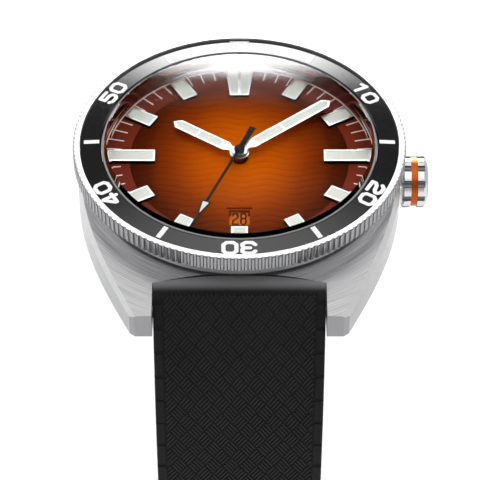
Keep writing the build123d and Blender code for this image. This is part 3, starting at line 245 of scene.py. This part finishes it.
def smoked_dial(name):
    """Orange lacquer smoked to brown towards the rim and the two sides, with a red-brown edge ring."""
    shade = Shade(name, Specular_IOR_Level=0.0)
    x, y, _ = shade.axes()
    wide = shade.math("MULTIPLY", shade.math("MULTIPLY", x, x), SIDE_SMOKE)
    reach = shade.math("SQRT", shade.math("ADD", wide, shade.math("MULTIPLY", y, y)))
    share = shade.spread(reach, 0.0, DIAL_REACH_MM * MM, 0.0, 1.0)
    cloud = shade.spread(shade.noise(260.0), 0.3, 0.7, -0.02, 0.02)
    smoke = shade.ramp(shade.math("ADD", share, cloud), *SMOKE_STEPS)
    edge = shade.spread(shade.radius(), (WAVE_R + 0.02) * MM, (WAVE_R + 0.06) * MM, 0.0, 1.0)
    shade.put("Base Color", shade.blend(edge, smoke, DIAL_RIM))
    shade.put("Roughness", shade.spread(shade.noise(5000.0), 0.3, 0.7, 0.34, 0.46))
    shade.bump(shade.noise(14000.0), 3e-6)
    return shade.mat


def rubber(name, tone, painted_sheen_end=False):
    """Matt moulded rubber with a faint grain and dusty patches; a strap's end by the case gets a painted
    grey sheen.
    """
    shade = Shade(name, Specular_IOR_Level=0.22)
    patch = shade.noise(180.0)
    dark = (tone, tone, tone * 1.06)
    dusty = (tone * 1.35, tone * 1.35, tone * 1.45)
    base = shade.ramp(patch, (0.3, dark), (0.75, dusty))
    # painted sheen: grey laid over the rubber by the case
    if painted_sheen_end:
        along = shade.math("ABSOLUTE", shade.axes()[1])
        span = [limit * MM for limit in PAINTED_SHEEN_SPAN_MM]
        base = shade.blend(shade.spread(along, *span, 1.0, 0.0, smooth=True), base, PAINTED_SHEEN_GREY)
    shade.put("Base Color", base)
    shade.put("Roughness", shade.spread(shade.noise(2600.0), 0.3, 0.7, 0.42, 0.58))
    shade.bump(shade.noise(9000.0, detail=5.0), 1.2e-5, 0.6)
    return shade.mat


def clear_crystal(name):
    """Coated sapphire with a faint mirror share, raised towards 12 o'clock as a painted highlight; rays from
    lamps pass it, so that the dial is lit.
    """
    mat = bpy.data.materials.new(name)
    mat.use_nodes = True
    tree = mat.node_tree
    tree.nodes.clear()
    out = tree.nodes.new("ShaderNodeOutputMaterial")
    bend = tree.nodes.new("ShaderNodeBsdfRefraction")
    bend.inputs["IOR"].default_value = 1.77
    bend.inputs["Color"].default_value = (0.99, 1.0, 1.0, 1.0)
    shine = tree.nodes.new("ShaderNodeBsdfGlossy")
    coords = tree.nodes.new("ShaderNodeTexCoord")
    smear = tree.nodes.new("ShaderNodeTexNoise")
    smear.inputs["Scale"].default_value = 700.0
    tree.links.new(coords.outputs["Object"], smear.inputs["Vector"])
    haze = map_range(tree, smear.outputs["Fac"], (0.4, 0.8, 0.0, 0.012))
    for shader in (bend, shine):
        tree.links.new(haze, shader.inputs["Roughness"])
    coated = tree.nodes.new("ShaderNodeMixShader")
    split = tree.nodes.new("ShaderNodeSeparateXYZ")
    tree.links.new(coords.outputs["Object"], split.inputs[0])
    # painted highlight: the mirror share rises towards the 12 o'clock side
    span = [limit * MM for limit in PAINTED_SHINE_SPAN_MM]
    coating_and_painted_shine = map_range(tree, split.outputs["Y"], (*span, *COATING_AND_PAINTED_SHINE), smooth=True)
    tree.links.new(coating_and_painted_shine, coated.inputs[0])
    tree.links.new(bend.outputs[0], coated.inputs[1])
    tree.links.new(shine.outputs[0], coated.inputs[2])
    clear = tree.nodes.new("ShaderNodeBsdfTransparent")
    mix = tree.nodes.new("ShaderNodeMixShader")
    path = tree.nodes.new("ShaderNodeLightPath")
    tree.links.new(path.outputs["Is Shadow Ray"], mix.inputs[0])
    tree.links.new(coated.outputs[0], mix.inputs[1])
    tree.links.new(clear.outputs[0], mix.inputs[2])
    tree.links.new(mix.outputs[0], out.inputs[0])
    return mat


def gloss_black(name, colour, rough, level):
    """Glossy black with a faint cloudiness and smears."""
    shade = Shade(name, Specular_IOR_Level=level, IOR=1.6)
    light = tuple(c * 1.5 for c in colour)
    shade.put("Base Color", shade.ramp(shade.noise(500.0), (0.3, colour), (0.8, light)))
    shade.put("Roughness", shade.spread(shade.noise(1500.0), 0.3, 0.7, rough * 0.7, rough * 1.3))
    shade.bump(shade.noise(6000.0), 4e-7)
    return shade.mat


STEEL = (0.78, 0.78, 0.79)
BRIGHT = (0.90, 0.90, 0.91)
FINISH = {
    "brushed_case_steel": circular_brushed("case_top_brushed", (0.80, 0.80, 0.81), 0.38),
    "polished_steel": worn("polished_steel", BRIGHT, 0.09, 0.03, 1200.0, 4e-7, Metallic=1.0),
    "bezel_steel": worn("bezel_polished", (0.70, 0.70, 0.71), 0.5, 0.02, 300.0, 0.0, Metallic=1.0),
    "spring_steel": straight_brushed("satin_steel", STEEL, 0.3, (250.0, 9000.0, 9000.0)),
    "black_rubber": rubber("black_rubber", 0.005),
    "sapphire": clear_crystal("coated_sapphire"),
    "gasket_nylon": worn("grey_nylon", (0.20, 0.20, 0.20), 0.5, 0.1, 1500.0, 5e-6),
    "rehaut_brown": worn("brown_flange", (0.30, 0.07, 0.035), 0.06, 0.02, 900.0, Metallic=1.0),
    "black_ceramic": gloss_black("black_insert", (0.0035, 0.0035, 0.004), 0.07, 0.9),
    "white_lume": worn("white_fill", (0.93, 0.93, 0.92), 0.55, 0.08, 2500.0, 4e-6),
    "orange_dial": smoked_dial("smoked_orange"),
    "white_print": worn("pale_print", (0.92, 0.80, 0.74), 0.5, 0.08, 4000.0, 2e-6),
    "lume": worn("luminous_fill", (0.70, 0.71, 0.63), 0.65, 0.08, 5000.0, 6e-6),
    "black_lacquer": gloss_black("black_lacquer", (0.004, 0.004, 0.004), 0.12, 0.5),
    "orange_anodised": worn("orange_anodised", (0.55, 0.10, 0.008), 0.28, 0.06, 2500.0, 1e-6, Metallic=0.8),
    "plated_brass": circular_brushed("plated_brass", (0.76, 0.75, 0.72), 0.25),
    "gilt_brass": circular_brushed("gilt_brass", (0.80, 0.56, 0.25), 0.22),
    "ruby": worn("ruby", (0.45, 0.01, 0.06), 0.1, 0.03, 3000.0, 4e-7, IOR=1.77),
    "holder_plastic": worn("natural_nylon", (0.78, 0.78, 0.74), 0.5, 0.08, 1500.0, 5e-6),
    "orange_print": worn(
        "date_disc_orange", (0.62, 0.12, 0.004), 0.6, 0.06, 3000.0, 2e-6, Specular_IOR_Level=0.0),
}
BEVEL = worn("bevel_polished", BRIGHT, 0.4, 0.04, 700.0, 4e-7, Metallic=1.0)
# painted shade: the polished flank is a darker copy of the polished steel
PAINTED_SHADE_FLANK = worn("flank_polished_painted_shade", (0.36, 0.36, 0.37), 0.2, 0.04, 700.0, 4e-7, Metallic=1.0)
# painted shade: the bezel's flutes and side are a darker copy of its steel
PAINTED_SHADE_FLUTES = worn("bezel_fluted_painted_shade", (0.36, 0.36, 0.37), 0.2, 0.04, 1500.0, 5e-7, Metallic=1.0)
APPLIED = worn("applied_steel", BRIGHT, 0.3, 0.05, 3000.0, 5e-7, Metallic=1.0)
SATIN = straight_brushed("case_end_satin", (0.38, 0.38, 0.39), 0.38, (9000.0, 250.0, 250.0))
# painted shade: side walls of markers and hands, dark brown as shade and as a painted reflection of the dial
PAINTED_SHADE_SIDE = worn("marker_side_painted_shade", (0.06, 0.035, 0.03), 0.25, 0.05, 3000.0, 5e-7, Metallic=1.0)
CROWN_LAND = worn("crown_polished", (0.80, 0.80, 0.81), 0.22, 0.03, 900.0, 4e-7, Metallic=1.0)
# painted shade: the crown's grooves are a dark copy of its polished steel
CROWN_GROOVE_PAINTED_SHADE = worn("crown_groove_painted_shade", (0.16, 0.16, 0.17), 0.3, 0.05, 900.0, 4e-7, Metallic=1.0)
CROWN_END = worn("crown_end", (0.42, 0.42, 0.43), 0.35, 0.05, 900.0, 4e-7, Metallic=1.0)
# the strap rubber carries the painted grey sheen by the case
STRAP_RUBBER = rubber("strap_rubber", 0.005, painted_sheen_end=True)
# painted highlight: the raised weave is the same rubber, painted three times lighter than the strap
PAINTED_LIGHT_RELIEF = rubber("rubber_relief_painted_light", 0.015)
for part in frame["record"]["subparts"]:
    node = nodes[part["node"]]
    node.data.materials.clear()
    node.data.materials.append(FINISH[part["material_slot"]])


# --- steel finishes and painted shade by face -----------------------------------------------------
TOP_FACING, RIM_FACING, UPWARD, SIDEWAYS, DOWNWARD = 0.97, 0.9, 0.5, 0.3, -0.5  # a face normal's z
END_FACING, CHAMFER_FACING = 0.6, 0.3  # a crown face normal's x
END_SHARE, LAND_SHARE = 0.9, 0.985  # of the crown's radius
SLOT_HALF, SLOT_Y, LUG_END, INNER_WALL_R = 10.2, 17.0, 0.55, 19.4  # millimetres
CASE_END_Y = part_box("case_body")[1].y
CROWN_LOW, CROWN_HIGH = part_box("crown")
CROWN_AXIS_Z = (CROWN_LOW.z + CROWN_HIGH.z) / 2
CROWN_R = (CROWN_HIGH.z - CROWN_LOW.z) / 2


def paint(name, materials, choose):
    """Gives each face of a CAD node the material that choose(face) names by its place in the list."""
    mesh = nodes[name].data
    mesh.materials.clear()
    for material in materials:
        mesh.materials.append(material)
    for face in mesh.polygons:
        face.material_index = choose(face)


def case_face(face):
    """Brushed top 0, polished bevel 1, satin lug ends, slots and underside 2, flank 3 polished but darkened
    as painted shade.
    """
    in_slot = abs(face.center.x) < SLOT_HALF * MM and abs(face.center.y) > SLOT_Y * MM
    lug_end = abs(face.center.y) > CASE_END_Y - LUG_END * MM
    if face.normal.z > TOP_FACING:
        return 0
    if face.normal.z < DOWNWARD or (abs(face.normal.z) < SIDEWAYS and (in_slot or lug_end)):
        return 2
    return 3 if face.normal.z < UPWARD else 1


def bezel_face(face):
    """Bright rim and inner wall 0, flutes and side 1 darkened as painted shade."""
    inner_wall = math.hypot(face.center.x, face.center.y) < INNER_WALL_R * MM
    return 0 if face.normal.z > RIM_FACING or inner_wall else 1


def crown_face(face):
    """Bright lands and chamfers 0, grooves 1 darkened as painted shade, satin domed end 2."""
    share = math.hypot(face.center.y, face.center.z - CROWN_AXIS_Z) / CROWN_R
    if face.normal.x > END_FACING and share < END_SHARE:
        return 2
    return 0 if share > LAND_SHARE or abs(face.normal.x) > CHAMFER_FACING else 1


def applied_face(face):
    """Bright top 0, side walls 1 painted dark brown as shade and as the dial's reflection."""
    return 0 if abs(face.normal.z) > UPWARD else 1


paint("case_body", (FINISH["brushed_case_steel"], BEVEL, SATIN, PAINTED_SHADE_FLANK), case_face)
paint("bezel_ring", (FINISH["bezel_steel"], PAINTED_SHADE_FLUTES), bezel_face)
paint("crown", (CROWN_LAND, CROWN_GROOVE_PAINTED_SHADE, CROWN_END), crown_face)
for name in ("hour_markers", "hour_hand", "minute_hand"):
    paint(name, (APPLIED, PAINTED_SHADE_SIDE), applied_face)


# --- mesh helpers -------------------------------------------------------------------------------
def piece(name, bm, body, materials):
    """Makes one visible piece from a bmesh in the row frame."""
    bmesh.ops.recalc_face_normals(bm, faces=bm.faces)
    mesh = bpy.data.meshes.new(name)
    bm.to_mesh(mesh)
    bm.free()
    for material in materials:
        mesh.materials.append(material)
    obj = bpy.data.objects.new(name, mesh)
    scene.collection.objects.link(obj)
    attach(obj, body)
    return obj


def loft(bm, rings, material=0):
    """Skins rings of points, and caps both ends."""
    made = [[bm.verts.new(p) for p in ring] for ring in rings]
    count = len(rings[0])
    for first, second in zip(made, made[1:]):
        for i in range(count):
            j = (i + 1) % count
            bm.faces.new((first[i], first[j], second[j], second[i])).material_index = material
    bm.faces.new(made[0]).material_index = material
    bm.faces.new(made[-1]).material_index = material


# --- strap --------------------------------------------------------------------------------------
# millimetres and radians; a place on the strap is (u across it, distance along it from its first edge)
BEND_R = 66.0
START_PITCH = math.radians(57.0)
START_Y, START_Z = 20.75, 6.42
BEND = BEND_R * (math.pi / 2 - START_PITCH)
HALF_WIDTH, TAPER, TAPER_FROM_Z = 9.9, 0.0125, 5.0
TAIL_R = HALF_WIDTH - 1.45
MARGIN, MARGIN_CLEAR, TAIL_CLEAR = 1.05, 0.18, 0.3
CELL_X, CELL_S = 2.03, 1.22
RIDGES, RIDGE_REACH, RIDGE_HEIGHT, RIDGE_ROOT, RIDGE_SLOPE = 4, 0.46, 0.14, -0.06, 0.04
RIDGE_HALF_FOOT, RIDGE_HALF_TOP = 0.16, 0.085
WEAVE_START, WEAVE_ROW, ROW_REACH = 0.25, 1.4, 0.6
LEAST_ALONG, LEAST_ACROSS = 0.2, 0.25  # what has to be left of a ridge that is cut short
COLUMNS = range(-5, 6)
TAIL_BARE, BUCKLE_BARE, BUCKLE_BLOCKLESS = 1.5, 8.0, 6.0
BLOCK_FIRST, BLOCK_PITCH, BLOCK_GAP, BLOCK_HEIGHT = 1.1, 3.0, 0.4, 0.22
BLOCK_RAMP, BLOCK_DROP, BLOCK_ROOT, BLOCK_CHAMFER = 0.12, 0.16, -0.5, 0.1
BLOCK_INSET, STRAP_INSET = 0.01, 0.02  # from the strap's side face, and from its first edge
HOLE_R, HOLE_PITCH, HOLES, HOLE_END, HOLE_CLEAR = 1.0, 6.5, 8, 14.0, 0.75
RIM_SEGMENTS = 28
RIM_PROFILE = ((1.03, -0.2), (1.03, 0.06), (1.12, 0.12), (1.38, 0.12), (1.5, -0.05))  # radius, height
LONG, SHORT = 112.0, 74.0


def strap_frame(distance):
    """(y outwards, z, pitch) of the strap's outer face at a distance from its first edge."""
    pitch = START_PITCH + min(distance, BEND) / BEND_R
    y = START_Y + BEND_R * (math.sin(pitch) - math.sin(START_PITCH))
    z = START_Z - BEND_R * (math.cos(START_PITCH) - math.cos(pitch))
    return y, z - max(distance - BEND, 0.0), pitch


def on_strap(u, distance, height, side):
    """Point above the strap's outer face; side is -1 at 6 o'clock and 1 at 12 o'clock."""
    y, z, pitch = strap_frame(distance)
    y += height * math.sin(pitch)
    z += height * math.cos(pitch)
    return Vector((u, side * y, z)) * MM


def half_width(distance):
    return HALF_WIDTH - TAPER * (TAPER_FROM_Z - strap_frame(distance)[1])


def free_width(distance, length, tail):
    """Half width that the weave may fill: inside the margins, and inside the rounded tail."""
    width = half_width(distance) - MARGIN - MARGIN_CLEAR
    into = distance - (length - TAIL_R)
    if tail and into > 0:
        width = min(width, math.sqrt(max(TAIL_R * TAIL_R - into * into, 0.0)) - MARGIN - TAIL_CLEAR)
    return width


def hole_places(length, tail):
    """Distances of the buckle holes; only the tail half has any."""
    if not tail:
        return []
    return [length - HOLE_END - i * HOLE_PITCH for i in range(HOLES)]


def ridge(bm, a, b, side):
    """Low prism with sloping sides from a to b, both (u, distance)."""
    du, ds = b[0] - a[0], b[1] - a[1]
    size = math.hypot(du, ds)
    across = (-ds / size, du / size)
    rings = []
    section = ((-RIDGE_HALF_FOOT, RIDGE_ROOT, 0.0), (-RIDGE_HALF_TOP, RIDGE_HEIGHT, 1.0),
               (RIDGE_HALF_TOP, RIDGE_HEIGHT, 1.0), (RIDGE_HALF_FOOT, RIDGE_ROOT, 0.0))
    for place, inset in ((a, RIDGE_SLOPE), (b, -RIDGE_SLOPE)):
        ring = []
        for half, height, shift in section:
            u = place[0] + across[0] * half + du / size * inset * shift
            s = place[1] + across[1] * half + ds / size * inset * shift
            ring.append(on_strap(u, s, height, side))
        rings.append(ring)
    # material 1 is the weave rubber, painted lighter as a highlight
    loft(bm, rings, material=1)


def clipped(a, b, width):
    """The stretch from a to b that lies between the margins and past the weave's start, or None."""
    a, b = list(a), list(b)
    if a[0] > width - LEAST_ACROSS or b[0] < LEAST_ACROSS - width:
        return None
    slope = (b[1] - a[1]) / (b[0] - a[0])
    if b[0] > width:
        b = [width, a[1] + slope * (width - a[0])]
    if a[0] < -width:
        a = [-width, b[1] - slope * (b[0] + width)]
    near, far = (a, b) if a[1] < b[1] else (b, a)
    if far[1] < WEAVE_START + LEAST_ALONG:
        return None
    if near[1] < WEAVE_START:
        near[0] += (WEAVE_START - near[1]) / slope
        near[1] = WEAVE_START
    return a, b


def weave(bm, length, side, tail):
    """Basket weave: diamonds of parallel ridges, leaning alternately left and right."""
    holes = hole_places(length, tail)
    half_x, half_s = CELL_X / 2, CELL_S
    stop = length - (TAIL_BARE if tail else BUCKLE_BARE)
    row = -1
    while WEAVE_ROW + row * CELL_S + ROW_REACH < stop:
        centre_s = WEAVE_ROW + row * CELL_S
        lean = 1 if row % 2 else -1
        for column in COLUMNS:
            centre_u = column * CELL_X + (half_x if row % 2 else 0.0)
            for i in range(RIDGES):
                share = (i + 0.5) / RIDGES * 2 - 1
                mid = (centre_u + share * half_x / 2, centre_s - lean * share * half_s / 2)
                run = (half_x * RIDGE_REACH, lean * half_s * RIDGE_REACH)
                width = free_width(mid[1], length, tail)
                ends = clipped((mid[0] - run[0], mid[1] - run[1]), (mid[0] + run[0], mid[1] + run[1]), width)
                by_hole = any(math.hypot(mid[0], mid[1] - h) < HOLE_R + HOLE_CLEAR for h in holes)
                if ends and not by_hole and max(ends[0][1], ends[1][1]) <= stop:
                    ridge(bm, *ends, side)
        row += 1


def margin_blocks(bm, length, side, tail):
    """Raised blocks along both edges, parted by notches."""
    start = 0.0
    end = BLOCK_FIRST
    last = length - (TAIL_R if tail else BUCKLE_BLOCKLESS)
    while end < last:
        lo = start + (BLOCK_GAP / 2 if start else STRAP_INSET)
        hi = end - BLOCK_GAP / 2
        steps = ((lo, BLOCK_DROP), (lo + BLOCK_RAMP, 0.0), (hi - BLOCK_RAMP, 0.0), (hi, BLOCK_DROP))
        for edge in (1, -1):
            rings = []
            for s, drop in steps:
                outer = half_width(s) - BLOCK_INSET
                inner = outer - MARGIN
                top = BLOCK_HEIGHT - drop
                ring = [(outer, BLOCK_ROOT), (outer, top - BLOCK_CHAMFER), (outer - BLOCK_RAMP, top),
                        (inner + BLOCK_CHAMFER, top), (inner, top - BLOCK_CHAMFER), (inner, BLOCK_ROOT)]
                rings.append([on_strap(edge * u, s, h, side) for u, h in ring])
            loft(bm, rings)
        start = end
        end += BLOCK_PITCH


def hole_rims(bm, length, side):
    """Raised lip round each buckle hole."""
    for place in hole_places(length, True):
        made = []
        for i in range(RIM_SEGMENTS):
            angle = 2 * math.pi * i / RIM_SEGMENTS
            points = []
            for radius, height in RIM_PROFILE:
                along = place + radius * math.sin(angle)
                points.append(on_strap(radius * math.cos(angle), along, height, side))
            made.append([bm.verts.new(p) for p in points])
        count = len(RIM_PROFILE)
        for i in range(RIM_SEGMENTS):
            first, second = made[i], made[(i + 1) % RIM_SEGMENTS]
            for k in range(count):
                j = (k + 1) % count
                bm.faces.new((first[k], first[j], second[j], second[k]))


def strap(name, node, body, length, side, tail):
    """Moulded strap half: the body with its weave, margin blocks and hole rims."""
    bm = bmesh.new()
    bm.from_mesh(nodes[node].data)
    bmesh.ops.remove_doubles(bm, verts=bm.verts, dist=1e-7)
    for face in bm.faces:
        face.material_index = 0
    weave(bm, length, side, tail)
    margin_blocks(bm, length, side, tail)
    if tail:
        hole_rims(bm, length, side)
    obj = piece(name, bm, body, [STRAP_RUBBER, PAINTED_LIGHT_RELIEF])
    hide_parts(node)


strap("strap_six_rubber", "strap_long", "strap_six", LONG, -1, True)
strap("strap_twelve_rubber", "strap_short", "strap_twelve", SHORT, 1, False)


LOOP_WALL, LOOP_CORNER = 1.05, 1.2  # millimetres
LOOP_POINTS, LOOP_STEPS = 16, 8  # points round the wall, and steps round each corner
FACE_POWER, EDGE_POWER = 0.45, 0.35


def rounded(value, power):
    """Sine or cosine pushed outwards, so that a circle becomes a rounded block."""
    return math.copysign(abs(value) ** power, value)


def keeper_loop():
    """Rounded rubber loop with a crowned outer face."""
    low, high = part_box("free_keeper")
    wall = LOOP_WALL * MM
    corner = LOOP_CORNER * MM
    reach = (high.z - low.z) / 2
    x, y, z = [(a + b) / 2 for a, b in zip(low, high)]
    section = []
    for i in range(LOOP_POINTS):
        angle = 2 * math.pi * i / LOOP_POINTS
        out = rounded(math.cos(angle), FACE_POWER) * wall / 2
        section.append((out, rounded(math.sin(angle), EDGE_POWER) * reach))
    half_x, half_y = (high.x - low.x) / 2 - wall / 2, (high.y - low.y) / 2 - wall / 2
    bm = bmesh.new()
    made = []
    for side_x, side_y, first in ((1, 1, 0), (-1, 1, 90), (-1, -1, 180), (1, -1, 270)):
        middle = Vector((x + side_x * (half_x - corner), y + side_y * (half_y - corner), z))
        for step in range(LOOP_STEPS + 1):
            angle = math.radians(first + step * 90 / LOOP_STEPS)
            direction = Vector((math.cos(angle), math.sin(angle), 0))
            base = middle + direction * corner
            made.append([bm.verts.new(base + direction * a + Vector((0, 0, b))) for a, b in section])
    for i, first in enumerate(made):
        second = made[(i + 1) % len(made)]
        for k in range(LOOP_POINTS):
            j = (k + 1) % LOOP_POINTS
            bm.faces.new((first[k], first[j], second[j], second[k])).smooth = True
    obj = piece("keeper_loop", bm, "keeper", [FINISH["black_rubber"]])
    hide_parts("free_keeper")


keeper_loop()


# --- dial relief --------------------------------------------------------------------------------
# millimetres; the bands fill the circle WAVE_R except round the hub and the date opening
WAVE_TURNS = (-16.5, -12.9, -9.3, -5.7, -2.4, 0.3, 3.0, 6.2, 9.6, 13.0, 16.5)
WAVE_HALF_HEIGHT = 0.3
WAVE_PITCH = 1.0
WAVE_GROOVE = 0.11
BAND_EDGE, BAND_SHOULDER, BAND_CROWN = -0.03, 0.03, 0.045  # heights over the dial
SHOULDER_IN, CROWN_IN = 0.05, 0.35
BAND_OVERRUN, STEPS_PER_MM = 0.4, 4
HUB_CLEAR_R = 1.15
DATE_CLEAR = (1.5, 1.5, -9.9)  # half sizes and the middle's y
CUTTER_HEIGHT, CUTTER_SEGMENTS = 2.0, 96


def wave(x):
    """Sideways run of one wave line: smooth swings between uneven turning points."""
    for i, (left, right) in enumerate(zip(WAVE_TURNS, WAVE_TURNS[1:])):
        if x <= right:
            break
    phase = math.cos(math.pi * min(max((x - left) / (right - left), 0.0), 1.0))
    return WAVE_HALF_HEIGHT * phase * (1 if i % 2 == 0 else -1)


def cut(obj, operation, radius, top, opening):
    """Keeps or takes away a round plug about the axis, and takes away the date opening with it."""
    bm = bmesh.new()
    round_size = {"radius1": radius * MM, "radius2": radius * MM, "depth": CUTTER_HEIGHT * MM}
    plug = bmesh.ops.create_cone(bm, cap_ends=True, segments=CUTTER_SEGMENTS, **round_size)
    for v in plug["verts"]:
        v.co.z += top * MM
    if opening:
        half_x, half_y, y = opening
        block = bmesh.ops.create_cube(bm, size=2.0)  # its corners are at 1 and -1
        for v in block["verts"]:
            v.co = Vector((v.co.x * half_x, v.co.y * half_y + y, v.co.z + top)) * MM
    mesh = bpy.data.meshes.new("cutter")
    bm.to_mesh(mesh)
    bm.free()
    tool = bpy.data.objects.new("cutter", mesh)
    scene.collection.objects.link(tool)
    modifier = obj.modifiers.new("openings", "BOOLEAN")
    modifier.operation = operation
    modifier.object = tool
    modifier.solver = "EXACT"
    graph = bpy.context.evaluated_depsgraph_get()
    trimmed = bpy.data.meshes.new_from_object(obj.evaluated_get(graph))
    obj.modifiers.clear()
    obj.data = trimmed
    bpy.data.objects.remove(tool)


def dial_waves():
    """Low crowned bands between the engraved wave lines."""
    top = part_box("dial")[1].z / MM
    edge = WAVE_GROOVE / 2
    profile = ((edge, BAND_EDGE), (edge + SHOULDER_IN, BAND_SHOULDER), (CROWN_IN, BAND_CROWN),
               (1 - CROWN_IN, BAND_CROWN), (1 - edge - SHOULDER_IN, BAND_SHOULDER), (1 - edge, BAND_EDGE))
    bm = bmesh.new()
    count = int(WAVE_R / WAVE_PITCH) + 1
    reach = WAVE_R + BAND_OVERRUN
    steps = int(2 * reach * STEPS_PER_MM)
    for k in range(-count, count):
        rings = []
        for i in range(steps + 1):
            x = -reach + 2 * reach * i / steps
            points = []
            for share, height in profile:
                points.append(Vector((x, (k + share) * WAVE_PITCH + wave(x), top + height)) * MM)
            rings.append(points)
        loft(bm, rings)
    obj = piece("dial_waves", bm, "watch_head", [FINISH["orange_dial"]])
    cut(obj, "INTERSECT", WAVE_R, top, None)
    cut(obj, "DIFFERENCE", HUB_CLEAR_R, top, DATE_CLEAR)


dial_waves()


# --- surroundings -------------------------------------------------------------------------------
# brightness of each part of the room
OVERHEAD = 1.25
ROOM = 0.8
BELT = 0.12
WINDOW = 16.0
NEAR_WALL_SHARE = 0.5
# where each part fades in or out: components of the direction, or its cosine from NEAR_WALL
OVERHEAD_Z = (0.70, 0.80)
BELT_Z, BELT_Y = (0.44, 0.52), (-0.1, 0.25)
NEAR_WALL, NEAR_WALL_REACH = (0, -1, 0.8), (0.6, 0.95)
WINDOW_Z, WINDOW_X, WINDOW_Y = (0.53, 0.61), (0.06, 0.24), (0.2, 0.5)
# metres and watts
KEY_PLACE, KEY_SIZE, KEY_POWER = (0.1, 0.35, 0.75), 0.5, 0.9
FLOOR_HALF = 3.0
# the camera looks at the target from in front, as high as ELEVATION
ELEVATION, TARGET_MM, DISTANCE = 45.06, (0.07, -5.79, 0.0), 0.253
LENS, SENSOR = 156.4, 36.0
CLIP = (0.01, 20.0)


def studio_world():
    """White room: a wide overhead softbox, a darker belt behind, and a bright window low behind."""
    world = bpy.data.worlds.new("studio")
    scene.world = world
    world.use_nodes = True
    tree = world.node_tree
    tree.nodes.clear()
    out = tree.nodes.new("ShaderNodeOutputWorld")
    back = tree.nodes.new("ShaderNodeBackground")
    coords = tree.nodes.new("ShaderNodeTexCoord").outputs["Generated"]
    split = tree.nodes.new("ShaderNodeSeparateXYZ")
    tree.links.new(coords, split.inputs[0])

    def within(value, *numbers):
        return map_range(tree, value, numbers, smooth=True)

    def times(first, second):
        return calculate(tree, "MULTIPLY", first, second)

    def toward(direction):
        """Cosine of the angle from a direction."""
        dot = tree.nodes.new("ShaderNodeVectorMath")
        dot.operation = "DOT_PRODUCT"
        tree.links.new(coords, dot.inputs[0])
        dot.inputs[1].default_value = Vector(direction).normalized()
        return dot.outputs["Value"]

    x, y, z = split.outputs
    overhead = within(z, *OVERHEAD_Z, 0.0, OVERHEAD)
    belt = times(within(z, *BELT_Z, 0.0, 1.0), within(y, *BELT_Y, 0.0, 1.0))
    near_wall = within(toward(NEAR_WALL), *NEAR_WALL_REACH, 1.0, NEAR_WALL_SHARE)
    room = times(within(belt, 0.0, 1.0, ROOM, BELT), near_wall)
    side = calculate(tree, "ABSOLUTE", x)
    window = times(within(z, *WINDOW_Z, WINDOW, 0.0), within(side, *WINDOW_X, 1.0, 0.0))
    window = times(window, within(y, *WINDOW_Y, 0.0, 1.0))
    level = calculate(tree, "ADD", calculate(tree, "ADD", room, overhead), window)
    tree.links.new(level, back.inputs["Strength"])
    tree.links.new(back.outputs[0], out.inputs[0])


def key_lamp():
    """Soft round lamp behind and above, left out of mirrors."""
    data = bpy.data.lights.new("key", "AREA")
    data.shape = "DISK"
    data.size = KEY_SIZE
    data.energy = KEY_POWER
    lamp = bpy.data.objects.new("key", data)
    scene.collection.objects.link(lamp)
    lamp.location = KEY_PLACE
    lamp.rotation_mode = "QUATERNION"
    lamp.rotation_quaternion = (-Vector(KEY_PLACE)).to_track_quat("-Z", "Y")
    lamp.visible_glossy = False


def floor():
    """Plain pale flat floor under the watch."""
    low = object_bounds()[0]
    bm = bmesh.new()
    bmesh.ops.create_grid(bm, x_segments=8, y_segments=8, size=FLOOR_HALF)
    mesh = bpy.data.meshes.new("floor")
    for v in bm.verts:
        v.co.z = low.z
    bm.to_mesh(mesh)
    bm.free()
    obj = bpy.data.objects.new("floor", mesh)
    scene.collection.objects.link(obj)
    mesh.materials.append(worn("pale_floor", (1.0, 1.0, 1.0), 0.7, 0.05, 20.0, 1e-5, Specular_IOR_Level=0.2))
    obj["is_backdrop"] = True


def camera():
    """The camera, in front of the 6 o'clock side."""
    data = bpy.data.cameras.new("camera")
    data.lens = LENS
    data.sensor_width = SENSOR
    data.clip_start, data.clip_end = CLIP
    obj = bpy.data.objects.new("camera", data)
    scene.collection.objects.link(obj)
    elevation = math.radians(ELEVATION)
    target = Vector(TARGET_MM) * MM
    back = Vector((0, -math.cos(elevation), math.sin(elevation)))
    obj.location = target + back * DISTANCE
    obj.rotation_mode = "QUATERNION"
    obj.rotation_quaternion = (-back).to_track_quat("-Z", "Y")
    scene.camera = obj


studio_world()
key_lamp()
floor()
camera()
scene.view_settings.view_transform = "Standard"
scene.cycles.use_denoising = True
